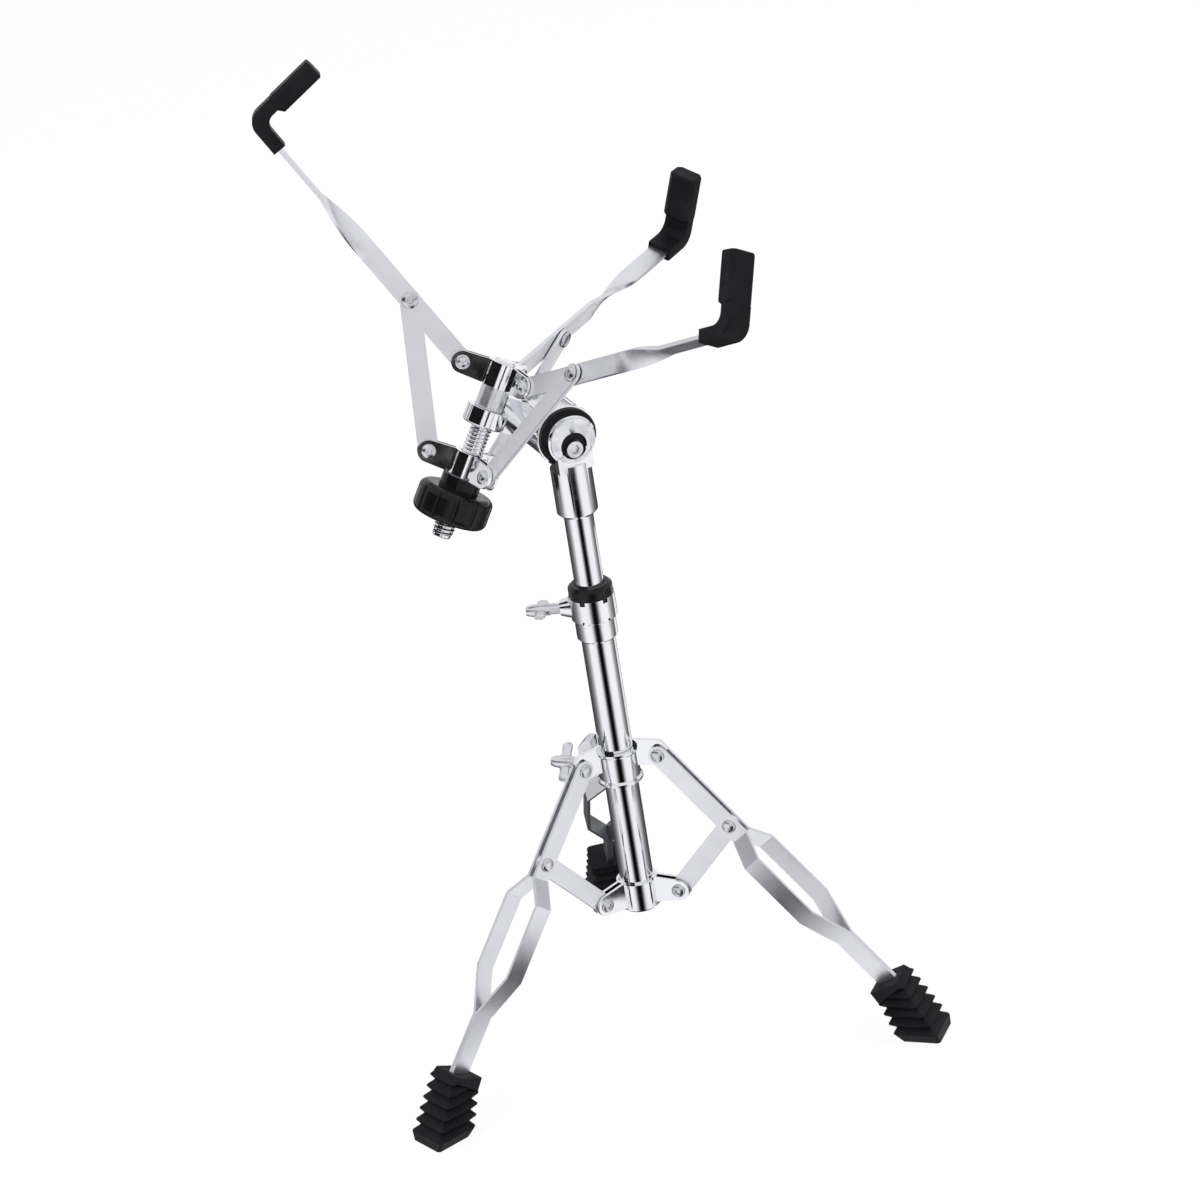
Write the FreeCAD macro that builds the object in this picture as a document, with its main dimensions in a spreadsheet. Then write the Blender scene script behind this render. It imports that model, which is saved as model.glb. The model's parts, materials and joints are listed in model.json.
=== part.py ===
import FreeCAD, Part
import math
import os
import re
import Sketcher

# Snare drum stand: a folding tripod, a telescopic column, a tilter and a basket with three arms.
# All lengths are in millimetres and all angles in degrees.
# The origin is on the floor under the column, +Z is up and -Y faces the viewer.

SIZES = {
    # Clearances and the overrun of cuts
    "fit_gap": 0.02,
    "running_gap": 0.08,
    "sliding_gap": 0.35,
    "side_gap": 0.3,
    "overrun": 5.0,
    # Column tubes
    "lower_tube_radius": 11.1,
    "lower_tube_wall": 1.25,
    "lower_tube_bottom": 88.0,
    "lower_tube_top": 297.0,
    "upper_tube_radius": 9.5,
    "upper_tube_wall": 1.5,
    "upper_tube_bottom": 132.0,
    "end_plug_flange": 2.0,
    "end_plug_spigot": 10.0,
    "guide_flange": 8.0,
    "guide_spigot": 12.0,
    # Flat bars, ears and rivets shared by tripod and basket
    "bar_thickness": 2.6,
    "bar_width": 12.8,
    "ear_thickness": 2.0,
    "ear_radius": 7.2,
    "rivet_radius": 2.5,
    "rivet_head_radius": 4.6,
    "rivet_head_height": 2.2,
    "rivet_crown_radius": 2.4,
    # Tripod
    "base_angle": -24.0,
    "leg_angle": 40.0,
    "pivot_reach": 29.5,
    "lower_pivot_rise": 11.5,
    "leg_strut_length": 65.5,
    "band_radius": 13.6,
    "band_height": 19.0,
    "ear_root_half": 9.2,
    "strip_width": 13.0,
    "strip_thickness": 2.0,
    "strip_seam": 0.1,
    "loop_start": 10.5,
    "loop_spread": 15.0,
    "loop_rise": 16.0,
    "loop_straight": 50.0,
    "loop_fall": 29.0,
    "strip_length": 230.0,
    # Tripod collar and its wing bolt
    "collar_wall": 2.2,
    "collar_below": 19.0,
    "collar_height": 23.0,
    "collar_lip_radius": 14.9,
    "collar_lip_height": 3.0,
    "collar_ear_below": 8.5,
    "collar_ear_above": 10.3,
    "collar_ear_end": 5.8,
    "collar_ear_corner": 4.0,
    "collar_slot_travel": 5.0,
    "collar_bolt_drop": 9.0,
    "collar_bolt_angle": 43.0,
    "lug_reach": 24.5,
    "lug_half_width": 5.5,
    "lug_below": 6.5,
    "lug_above": 19.0,
    "lug_corner": 5.0,
    # Feet
    "foot_grip": 19.5,
    "foot_step": 22.2,
    "foot_lean_angle": 26.0,
    "foot_taper_angle": 4.8,
    "foot_sole_half": 15.6,
    "foot_sole_side": 16.2,
    "foot_sole_height": 6.0,
    "foot_sole_inset": 2.6,
    "foot_rib_pitch": 6.8,
    "foot_rib_depth": 3.5,
    "foot_corner": 1.6,
    "foot_top_half": 10.0,
    "foot_collar_half": 11.0,
    "foot_collar_side": 13.2,
    "foot_collar_height": 6.5,
    "foot_top_angle": 26.0,
    # Height clamp, its bush and its wing bolt
    "clamp_sleeve_radius": 13.3,
    "clamp_overlap": 13.0,
    "clamp_sleeve_chamfer": 1.8,
    "clamp_collar_radius": 15.0,
    "clamp_collar_half": 8.25,
    "clamp_ledge": 1.5,
    "clamp_edge": 1.0,
    "bush_radius": 12.0,
    "bush_flange_radius": 14.4,
    "bush_flange_height": 8.0,
    "bush_edge": 2.2,
    "notch_width": 3.6,
    "notch_height": 2.6,
    "notch_angle": 11.0,
    "clamp_bolt_angle": 172.0,
    "boss_root_radius": 7.5,
    "boss_tip_radius": 5.0,
    "boss_reach": 21.0,
    "insert_radius": 4.2,
    "insert_length": 5.0,
    # Wing bolts
    "wing_screw_radius": 3.0,
    "wing_neck_radius": 3.5,
    "wing_neck_length": 6.0,
    "wing_hub_radius": 4.0,
    "wing_hub_length": 16.0,
    "wing_hub_edge": 1.2,
    "wing_nose": 4.0,
    "wing_thickness": 3.2,
    "wing_span_half": 13.8,
    "wing_tip_lean": -2.0,
    "wing_tip_radius": 3.8,
    # Tilter
    "column_extension": 129.0,
    "tilter_angle": 20.0,
    "rod_lean_angle": 31.5,
    "head_radius": 16.2,
    "head_front": 11.5,
    "head_thickness": 6.5,
    "head_edge": 1.0,
    "spigot_radius": 10.0,
    "spigot_length": 11.0,
    "socket_radius": 13.25,
    "socket_bottom": 54.0,
    "socket_shoulder": 21.0,
    "socket_front_top": 17.0,
    "socket_web_half": 12.0,
    "socket_chamfer": 2.4,
    "socket_bore_depth": 30.0,
    "face_radius": 15.0,
    "face_seat_depth": 3.0,
    "face_rise": 0.8,
    "face_recess_radius": 8.8,
    "face_recess_drop": 3.4,
    "face_recess_depth": 3.0,
    "face_dimple_radius": 2.0,
    "face_dimple_side": 9.8,
    "face_dimple_drop": 7.6,
    "face_dimple_depth": 1.0,
    "face_screw_drop": 5.7,
    "face_screw_radius": 5.6,
    "face_screw_rise": 4.0,
    "face_screw_stem": 1.3,
    "face_screw_bite": 4.0,
    "face_screw_key_half": 2.6,
    "face_screw_key_depth": 2.0,
    "stud_radius": 4.0,
    "stud_front": 8.0,
    "stud_tail": 2.5,
    "washer_radius": 19.0,
    "washer_thickness": 2.0,
    "flange_radius": 20.2,
    "flange_thickness": 2.5,
    "barrel_radius": 19.2,
    "barrel_back": 42.0,
    "barrel_edge": 1.6,
    "rod_offset": 40.0,
    "rod_back": 34.0,
    "arm_side_half": 6.5,
    "holder_arm_above": 8.0,
    "eye_radius": 13.5,
    "eye_top": 3.0,
    "eye_height": 11.6,
    "eye_edge": 1.6,
    "nut_hub_radius": 6.6,
    "nut_hub_length": 8.0,
    "nut_wing_span_half": 13.0,
    "nut_wing_tip_radius": 3.6,
    "nut_wing_lean": 3.0,
    # Basket rod, hub, lower bracket and knob
    "hub_rise": 20.0,
    "rod_radius": 7.0,
    "rod_above_hub": 9.5,
    "rod_below_hub": 111.0,
    "rod_end_chamfer": 1.4,
    "sleeve_radius": 9.3,
    "hub_radius": 12.0,
    "hub_half_height": 8.0,
    "basket_pivot": 26.3,
    "pivot_drop": 61.6,
    "basket_angle": -80.8,
    "bracket_radius": 11.2,
    "basket_plane": 1.6,
    "knob_neck_radius": 13.0,
    "knob_neck_height": 8.8,
    "knob_radius": 24.5,
    "knob_height": 20.5,
    "knob_edge": 5.0,
    "flute_radius": 1.6,
    "flute_reach": 25.1,
    # Basket arms, struts and tips
    "arm_angle": 60.2,
    "arm_pin_distance": 51.0,
    "arm_pin_radius": 2.0,
    "arm_pin_slack": 1.5,
    "arm_pin_head_radius": 5.4,
    "twist_start": 89.0,
    "twist_length": 48.0,
    "arm_corner": 199.0,
    "tip_angle": 86.0,
    "arm_upright": 40.0,
    "tip_start": 176.0,
    "tip_half": 4.4,
    "tip_side": 8.8,
    "tip_upright": 49.0,
    "grip_start": 14.0,
    "grip_inside": 8.2,
    "grip_outside": 4.9,
    "grip_side": 9.6,
    "grip_edge": 2.6,
    "grip_shoulder": 3.6,
    "tip_outer_bend": 10.2,
    "tip_inner_bend": 7.0,
    "tip_edge": 1.5,
}

LEG_NAMES = ("right", "rear", "left")
ARM_NAMES = ("front", "rear", "left")
FOLDS = 3
NOTCH_COUNT = 6
FLUTE_COUNT = 12
FOOT_RIB_COUNT = 6
TWIST_STEPS = 8
BOTH, ALONG, AGAINST = range(3)
QUARTER_TURN = 90.0
FULL_TURN = 360.0
X_DIR = FreeCAD.Vector(1, 0, 0)
Y_DIR = FreeCAD.Vector(0, 1, 0)
Z_DIR = FreeCAD.Vector(0, 0, 1)

doc = FreeCAD.newDocument("snare_stand")
sheet = doc.addObject("Spreadsheet::Sheet", "sizes")
for row, (alias, number) in enumerate(SIZES.items(), start=1):
    sheet.set(f"A{row}", str(number))
    sheet.setAlias(f"A{row}", alias)
doc.recompute()


# Reading and binding sizes

def scoped(text):
    """Point every size name in an expression at the sheet."""
    return re.sub(r"[a-z]\w*", lambda found: f"sizes.{found[0]}" if found[0] in SIZES else found[0], text)


def size(text):
    """Work out an expression of size names as a number."""
    return float(sheet.evalExpression(text))


def place(x, y, z, axis=Z_DIR, angle=0.0):
    """Make a placement from three expressions and one turn."""
    return FreeCAD.Placement(FreeCAD.Vector(size(x), size(y), size(z)), FreeCAD.Rotation(axis, angle))


# Sketches and features

def new_body(label):
    """Start a named sub-part."""
    body = doc.addObject("PartDesign::Body", label)
    body.Label = label
    return body


def origin_item(body, role):
    """Find a plane or axis of the body's own origin."""
    return next(item for item in body.Origin.OriginFeatures if item.Role == role)


def sketch(body, role, lift="0"):
    """Start a sketch on an origin plane, moved along the plane's normal."""
    item = body.newObject("Sketcher::SketchObject", "sketch")
    item.AttachmentSupport = (origin_item(body, role), [""])
    item.MapMode = "FlatFace"
    item.setExpression("AttachmentOffset.Base.z", scoped(lift))
    return item


def facing_sketch(body, reach, turn):
    """Start a sketch that faces outwards from the Z axis, turned round it."""
    item = sketch(body, "YZ_Plane", f"({reach}) * cos({turn})")
    item.AttachmentOffset = place("0", "0", "0", Y_DIR, size(turn))
    item.setExpression("AttachmentOffset.Base.x", scoped(f"({reach}) * sin({turn})"))
    return item


def bound(item, kind, geometry, point, text):
    """Tie one coordinate of a sketch point to an expression."""
    index = item.addConstraint(Sketcher.Constraint(kind, -1, 1, geometry, point, size(text)))
    item.setExpression(f"Constraints[{index}]", scoped(text))


def outline(item, points):
    """Draw a closed outline of straight lines through points given as pairs of expressions."""
    first = item.GeometryCount
    spots = [FreeCAD.Vector(size(x), size(y), 0) for x, y in points]
    following = spots[1:] + spots[:1]
    for start, end in zip(spots, following):
        item.addGeometry(Part.LineSegment(start, end), False)
    for number in range(len(points)):
        after = first + (number + 1) % len(points)
        item.addConstraint(Sketcher.Constraint("Coincident", first + number, 2, after, 1))
    for number, (x, y) in enumerate(points):
        bound(item, "DistanceX", first + number, 1, x)
        bound(item, "DistanceY", first + number, 1, y)
    return item


def route(item, points):
    """Draw an open line through points given as pairs of expressions."""
    spots = [FreeCAD.Vector(size(x), size(y), 0) for x, y in points]
    for start, end in zip(spots, spots[1:]):
        item.addGeometry(Part.LineSegment(start, end), False)
    for number in range(len(points) - 2):
        item.addConstraint(Sketcher.Constraint("Coincident", number, 2, number + 1, 1))
    for number, (x, y) in enumerate(points):
        last = number == len(points) - 1
        bound(item, "DistanceX", number - last, 2 if last else 1, x)
        bound(item, "DistanceY", number - last, 2 if last else 1, y)
    return item


def circle(item, radius, x="0", y="0"):
    """Draw a circle."""
    centre = FreeCAD.Vector(size(x), size(y), 0)
    number = item.addGeometry(Part.Circle(centre, Z_DIR, size(radius)), False)
    bound(item, "DistanceX", number, 3, x)
    bound(item, "DistanceY", number, 3, y)
    index = item.addConstraint(Sketcher.Constraint("Radius", number, size(radius)))
    item.setExpression(f"Constraints[{index}]", scoped(radius))
    return item


def box_outline(item, left, right, low, high):
    """Draw a rectangle from its four sides."""
    return outline(item, [(left, low), (right, low), (right, high), (left, high)])


def clipped_box(item, left, right, low, high, corner):
    """Draw a rectangle with its corners cut off."""
    return outline(item, [
        (f"{left} + {corner}", low), (f"{right} - {corner}", low),
        (right, f"{low} + {corner}"), (right, f"{high} - {corner}"),
        (f"{right} - {corner}", high), (f"{left} + {corner}", high),
        (left, f"{high} - {corner}"), (left, f"{low} + {corner}")])


def hexagon(item, half_width):
    """Draw a hexagon round the sketch origin from half its width across flats."""
    corner = f"{half_width} / cos(30)"
    turns = range(0, 360, 60)
    return outline(item, [(f"{corner} * cos({turn})", f"{corner} * sin({turn})") for turn in turns])


def feature(body, kind, item, length, way):
    """Add a pad or pocket made from a sketch, to both sides of it or to one."""
    made = body.newObject(f"PartDesign::{kind}", kind.lower())
    made.Profile = item
    made.setExpression("Length", scoped(length))
    made.Midplane = way == BOTH
    made.Reversed = way == (ALONG if kind == "Pocket" else AGAINST)
    return made


def pad(body, item, length, way=BOTH):
    """Pad a sketch."""
    return feature(body, "Pad", item, length, way)


def cut(body, item, length, way=BOTH):
    """Cut a sketch out of the body."""
    return feature(body, "Pocket", item, length, way)


def revolve(body, item, role):
    """Turn a sketch right round an origin axis."""
    made = body.newObject("PartDesign::Revolution", "revolution")
    made.Profile = item
    made.ReferenceAxis = (origin_item(body, role), [""])
    made.Angle = FULL_TURN
    return made


def repeat_round(body, made, role, count):
    """Repeat features evenly round an origin axis."""
    doc.recompute()
    pattern = body.newObject("PartDesign::PolarPattern", "round_pattern")
    pattern.Originals = made
    pattern.Axis = (origin_item(body, role), [""])
    pattern.Angle = FULL_TURN
    pattern.Occurrences = count
    body.Tip = pattern
    return pattern


def repeat_along(body, made, role, length):
    """Repeat features once more, a length along an origin axis."""
    doc.recompute()
    pattern = body.newObject("PartDesign::LinearPattern", "row_pattern")
    pattern.Originals = made
    pattern.Direction = (origin_item(body, role), [""])
    pattern.setExpression("Length", scoped(length))
    pattern.Occurrences = 2
    body.Tip = pattern
    return pattern


def round_edges(body, radius, chosen):
    """Fillet the edges whose middle point passes a test."""
    doc.recompute()
    base = body.Tip
    names = []
    for number, edge in enumerate(base.Shape.Edges, start=1):
        middle = edge.valueAt((edge.FirstParameter + edge.LastParameter) / 2)
        if chosen(edge, middle):
            names.append(f"Edge{number}")
    made = body.newObject("PartDesign::Fillet", "fillet")
    made.Base = (base, names)
    made.setExpression("Radius", scoped(radius))
    return made


def along_y(edge):
    """Tell whether an edge is straight and runs along Y."""
    start, end = edge.Vertexes[0].Point, edge.Vertexes[-1].Point
    return abs(start.x - end.x) + abs(start.z - end.z) < size("fit_gap") < abs(start.y - end.y)


# Frames that the sub-parts are placed in

def tripod_frame(number):
    """Frame of one leg: X points outwards, Z up, from the floor."""
    return place("0", "0", "0", Z_DIR, size("base_angle") + FULL_TURN / FOLDS * number)


LOWER_PIVOT_HEIGHT = "lower_tube_bottom + lower_pivot_rise"
UPPER_PIVOT_HEIGHT = f"{LOWER_PIVOT_HEIGHT} + 2 * leg_strut_length * cos(leg_angle)"
TILT_HEIGHT = "lower_tube_top + column_extension"
TILTER_FRAME = place("0", "0", TILT_HEIGHT, Z_DIR, size("tilter_angle"))
ROD_FRAME = TILTER_FRAME * place("0", "0", "0", Y_DIR, size("rod_lean_angle"))
HUB_FRAME = ROD_FRAME * place("-rod_offset", "rod_back", "hub_rise", Z_DIR, size("basket_angle"))
BRACKET_FRAME = HUB_FRAME * place("0", "0", "-pivot_drop")


def basket_frame(number):
    """Frame of one basket arm: X points outwards, Z along the rod, from the hub's pivots."""
    return HUB_FRAME * place("0", "0", "0", Z_DIR, FULL_TURN / FOLDS * number)


# Shapes that several sub-parts share

def tube(label, radius, wall, bottom, top):
    """Make a round tube."""
    body = new_body(label)
    item = circle(circle(sketch(body, "XY_Plane", bottom), radius), f"{radius} - {wall}")
    pad(body, item, f"{top} - {bottom}", ALONG)
    return body


def turned(label, profile, role="Z_Axis", plane="XZ_Plane"):
    """Make a turned sub-part from a profile of radius and height."""
    body = new_body(label)
    revolve(body, outline(sketch(body, plane), profile), role)
    return body


def ear_pairs(body, reach, middle, root, root_half):
    """Add pairs of ears with rounded ends and one pin hole each, three round the body."""
    stack = "bar_thickness + 2 * side_gap + 2 * ear_thickness"
    slit = "bar_thickness + 2 * side_gap"
    lift = f"-({middle})"
    web = outline(sketch(body, "XZ_Plane", lift), [
        (root, f"-{root_half}"), (reach, "-ear_radius"), (reach, "ear_radius"), (root, root_half)])
    end = circle(sketch(body, "XZ_Plane", lift), "ear_radius", reach)
    gap = box_outline(sketch(body, "XZ_Plane", lift), f"{root} + ear_thickness",
                      f"{reach} + ear_radius + overrun", f"-{root_half} - overrun", f"{root_half} + overrun")
    hole = circle(sketch(body, "XZ_Plane", lift), "rivet_radius + fit_gap", reach)
    made = [pad(body, web, stack), pad(body, end, stack)]
    made += [cut(body, gap, slit), cut(body, hole, f"{stack} + overrun")]
    repeat_round(body, made, "Z_Axis", FOLDS)


def rivet(body, reach, low, high, stem="rivet_radius", head="rivet_head_radius"):
    """Add a rivet along Y with a domed head at each end, its axis moved along X."""
    profile = sketch(body, "XY_Plane")
    outline(profile, [
        (reach, f"{low} - rivet_head_height"),
        (f"{reach} + rivet_crown_radius", f"{low} - rivet_head_height"),
        (f"{reach} + {head}", low), (f"{reach} + {stem}", low),
        (f"{reach} + {stem}", high), (f"{reach} + {head}", high),
        (f"{reach} + rivet_crown_radius", f"{high} + rivet_head_height"),
        (reach, f"{high} + rivet_head_height")])
    ends = [FreeCAD.Vector(size(reach), size(end), 0) for end in (low, high)]
    axis = profile.addGeometry(Part.LineSegment(*ends), True)
    for point, end in enumerate((low, high), start=1):
        bound(profile, "DistanceX", axis, point, reach)
        bound(profile, "DistanceY", axis, point, end)
    made = body.newObject("PartDesign::Revolution", "revolution")
    made.Profile = profile
    made.ReferenceAxis = (profile, ["Axis0"])
    made.Angle = FULL_TURN
    return made


def flat_bar(label, length, width, thickness, first_hole, last_hole):
    """Make a flat bar with round ends along X, with a hole at each end."""
    body = new_body(label)
    pad(body, box_outline(sketch(body, "XZ_Plane"), "0", length, f"-{width} / 2", f"{width} / 2"), thickness)
    for x in ("0", length):
        pad(body, circle(sketch(body, "XZ_Plane"), f"{width} / 2", x), thickness)
    for x, radius in (("0", first_hole), (length, last_hole)):
        cut(body, circle(sketch(body, "XZ_Plane"), radius, x), f"{thickness} + overrun")
    return body


def wings(body, start, end, span, tip_radius, lean):
    """Add two flat wings to a screw head that lies along X."""
    tip_x = f"{end} + {lean} - {tip_radius}"
    for sign in ("", "-"):
        blade = outline(sketch(body, "XZ_Plane"), [
            (start, "0"), (end, "0"),
            (f"{tip_x} + {tip_radius}", f"{sign}({span} - {tip_radius})"),
            (f"{tip_x} - {tip_radius}", f"{sign}({span} - {tip_radius})")])
        pad(body, blade, "wing_thickness")
        pad(body, circle(sketch(body, "XZ_Plane"), tip_radius, tip_x, f"{sign}({span} - {tip_radius})"),
            "wing_thickness")


def wing_bolt(label, tip, seat):
    """Make a wing bolt along X: its screw up to the seat, then a neck and a winged head."""
    body = new_body(label)
    head = f"{seat} + wing_neck_length"
    end = f"{head} + wing_hub_length"
    profile = outline(sketch(body, "XZ_Plane"), [
        (tip, "0"), (tip, "wing_screw_radius"), (seat, "wing_screw_radius"), (seat, "wing_neck_radius"),
        (head, "wing_neck_radius"), (f"{head} + wing_hub_edge", "wing_hub_radius"),
        (f"{end} - wing_nose", "wing_hub_radius"), (end, "wing_hub_radius - wing_hub_edge"), (end, "0")])
    revolve(body, profile, "X_Axis")
    wings(body, f"{head} + wing_hub_edge", f"{end} - wing_nose", "wing_span_half", "wing_tip_radius",
          "wing_tip_lean")
    return body


# Column

def make_column():
    """Make the two tubes and the plugs in their lower ends."""
    tube("lower_tube", "lower_tube_radius", "lower_tube_wall", "lower_tube_bottom", "lower_tube_top")
    tube("upper_tube", "upper_tube_radius", "upper_tube_wall", "upper_tube_bottom",
         f"{TILT_HEIGHT} - socket_bottom + socket_bore_depth")
    bore = "lower_tube_radius - lower_tube_wall"
    turned("tube_end_plug", [
        ("0", "lower_tube_bottom - end_plug_flange"),
        ("lower_tube_radius", "lower_tube_bottom - end_plug_flange"),
        ("lower_tube_radius", "lower_tube_bottom"), (f"{bore} - fit_gap", "lower_tube_bottom"),
        (f"{bore} - fit_gap", "lower_tube_bottom + end_plug_spigot"),
        ("0", "lower_tube_bottom + end_plug_spigot")])
    spigot = "upper_tube_radius - upper_tube_wall - running_gap"
    turned("guide_plug", [
        ("0", "upper_tube_bottom - guide_flange"), (f"{bore} - side_gap", "upper_tube_bottom - guide_flange"),
        (f"{bore} - side_gap", "upper_tube_bottom - running_gap"),
        (spigot, "upper_tube_bottom - running_gap"),
        (spigot, "upper_tube_bottom + guide_spigot"), ("0", "upper_tube_bottom + guide_spigot")])


def make_height_clamp():
    """Make the stepped clamp round its bolt's axis, its toothed bush, its insert and its wing bolt."""
    seat = "lower_tube_radius + fit_gap"
    bore = "bush_radius + fit_gap"
    high = "clamp_collar_half"
    low = "-clamp_collar_half"
    tube_top = f"{low} - clamp_ledge"
    foot = f"{tube_top} - clamp_overlap"
    frame = place("0", "0", f"lower_tube_top - ({tube_top})", Z_DIR, size("clamp_bolt_angle"))
    body = turned("height_clamp", [
        (seat, foot), ("clamp_sleeve_radius - clamp_sleeve_chamfer", foot),
        ("clamp_sleeve_radius", f"{foot} + clamp_sleeve_chamfer"), ("clamp_sleeve_radius", low),
        ("clamp_collar_radius - clamp_edge", low), ("clamp_collar_radius", f"{low} + clamp_edge"),
        ("clamp_collar_radius", high), (bore, high), (bore, tube_top), (seat, tube_top)])
    boss = outline(sketch(body, "XZ_Plane"), [
        ("clamp_sleeve_radius", "0"), ("clamp_sleeve_radius", "boss_root_radius"),
        ("boss_reach", "boss_tip_radius"), ("boss_reach", "0")])
    revolve(body, boss, "X_Axis")
    cut(body, circle(sketch(body, "YZ_Plane"), "wing_screw_radius + side_gap"), "boss_reach + overrun", ALONG)
    inside = "boss_reach - insert_length"
    room = circle(sketch(body, "YZ_Plane", inside), "insert_radius + fit_gap")
    cut(body, room, "insert_length + overrun", ALONG)
    tooth_root = "bush_radius - bush_edge / 2"
    notches = []
    for depth, middle in (("clamp_sleeve_radius", low), (tooth_root, high)):
        item = box_outline(facing_sketch(body, depth, "notch_angle"), "-notch_width / 2", "notch_width / 2",
                           f"{middle} - notch_height", f"{middle} + notch_height")
        notches.append(cut(body, item, "overrun", ALONG))
    repeat_round(body, notches, "Z_Axis", NOTCH_COUNT)
    body.Placement = frame

    insert = new_body("height_clamp_insert")
    ring = circle(sketch(insert, "YZ_Plane", inside), "insert_radius")
    pad(insert, circle(ring, "wing_screw_radius + running_gap"), "insert_length", ALONG)
    insert.Placement = frame

    start = f"{tube_top} + side_gap"
    flange_top = f"{high} + bush_flange_height"
    bush = turned("height_bush", [
        ("upper_tube_radius + side_gap", start), ("bush_radius", start), ("bush_radius", high),
        ("bush_flange_radius", high), ("bush_flange_radius", f"{flange_top} - bush_edge"),
        ("bush_flange_radius - bush_edge", flange_top), ("upper_tube_radius + side_gap", flange_top)])
    tooth = box_outline(facing_sketch(bush, tooth_root, "notch_angle"),
                        "-notch_width / 2 + side_gap", "notch_width / 2 - side_gap",
                        f"{high} - notch_height + side_gap", f"{high} + side_gap")
    made = pad(bush, tooth, f"bush_flange_radius - ({tooth_root})", ALONG)
    repeat_round(bush, [made], "Z_Axis", NOTCH_COUNT)
    bush.Placement = frame

    bolt = wing_bolt("height_wing_bolt", "bush_radius + side_gap", "boss_reach + side_gap")
    bolt.Placement = frame * place("0", "0", "0", X_DIR, QUARTER_TURN)


# Tripod

def make_bottom_bracket():
    """Make the band with three pairs of ears at the column's foot, and its rivets."""
    frame = tripod_frame(0) * place("0", "0", LOWER_PIVOT_HEIGHT)
    body = new_body("bottom_bracket")
    band = circle(sketch(body, "XY_Plane", "-lower_pivot_rise"), "band_radius")
    pad(body, circle(band, "lower_tube_radius + fit_gap"), "band_height", ALONG)
    ear_pairs(body, "pivot_reach", "0", "lower_tube_radius + ear_thickness / 2", "ear_root_half")
    body.Placement = frame

    half = "bar_thickness / 2 + side_gap + ear_thickness"
    pins = new_body("bottom_rivets")
    made = rivet(pins, "pivot_reach", f"-({half})", half)
    repeat_round(pins, [made], "Z_Axis", FOLDS)
    pins.Placement = frame


def make_tripod_collar():
    """Make the sliding collar with lips and three slotted ears, its threaded lug and its wing bolt."""
    bore = "lower_tube_radius + sliding_gap"
    wall = f"{bore} + collar_wall"
    low = "-collar_below"
    high = "collar_height - collar_below"
    body = turned("tripod_collar", [
        (bore, low), ("collar_lip_radius", low), ("collar_lip_radius", f"{low} + collar_lip_height / 2"),
        (wall, f"{low} + collar_lip_height"), (wall, f"{high} - collar_lip_height"),
        ("collar_lip_radius", f"{high} - collar_lip_height / 2"), ("collar_lip_radius", high), (bore, high)])
    end = "pivot_reach + collar_ear_end"
    root = f"{bore} + collar_wall / 2"
    ear = outline(sketch(body, "XZ_Plane"), [
        (root, "-collar_ear_below"), (f"{end} - collar_ear_corner", "-collar_ear_below"),
        (end, "-collar_ear_below + collar_ear_corner"), (end, "collar_ear_above - collar_ear_corner"),
        (f"{end} - collar_ear_corner", "collar_ear_above"), (root, "collar_ear_above")])
    slack = "rivet_radius + side_gap"
    slot = box_outline(sketch(body, "XZ_Plane"), f"pivot_reach - ({slack})", f"pivot_reach + {slack}",
                       "0", "collar_slot_travel")
    made = [pad(body, ear, "bar_thickness"), cut(body, slot, "bar_thickness + overrun")]
    for height in ("0", "collar_slot_travel"):
        item = circle(sketch(body, "XZ_Plane"), slack, "pivot_reach", height)
        made.append(cut(body, item, "bar_thickness + overrun"))
    repeat_round(body, made, "Z_Axis", FOLDS)
    way = circle(sketch(body, "YZ_Plane", "-collar_lip_radius - overrun"), "wing_screw_radius + side_gap",
                 "0", "-collar_bolt_drop")
    cut(body, way, "collar_lip_radius + overrun", ALONG)
    body.Placement = tripod_frame(0) * place("0", "0", UPPER_PIVOT_HEIGHT)

    opposite = body.Placement * place("0", "0", "-collar_bolt_drop", Z_DIR, FULL_TURN / 2)
    lug = new_body("tripod_collar_nut")
    inside = "collar_lip_radius + fit_gap"
    item = outline(sketch(lug, "XZ_Plane"), [
        (inside, "-lug_below"), ("lug_reach", "-lug_below"), ("lug_reach", "lug_above - lug_corner"),
        ("lug_reach - lug_corner", "lug_above"), (inside, "lug_above")])
    pad(lug, item, "2 * lug_half_width")
    cut(lug, circle(sketch(lug, "YZ_Plane"), "wing_screw_radius + running_gap"), "lug_reach + overrun", ALONG)
    lug.Placement = opposite
    bolt = wing_bolt("tripod_wing_bolt", "lower_tube_radius + side_gap", "lug_reach + side_gap")
    bolt.Placement = opposite * place("0", "0", "0", X_DIR, size("collar_bolt_angle"))


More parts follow.
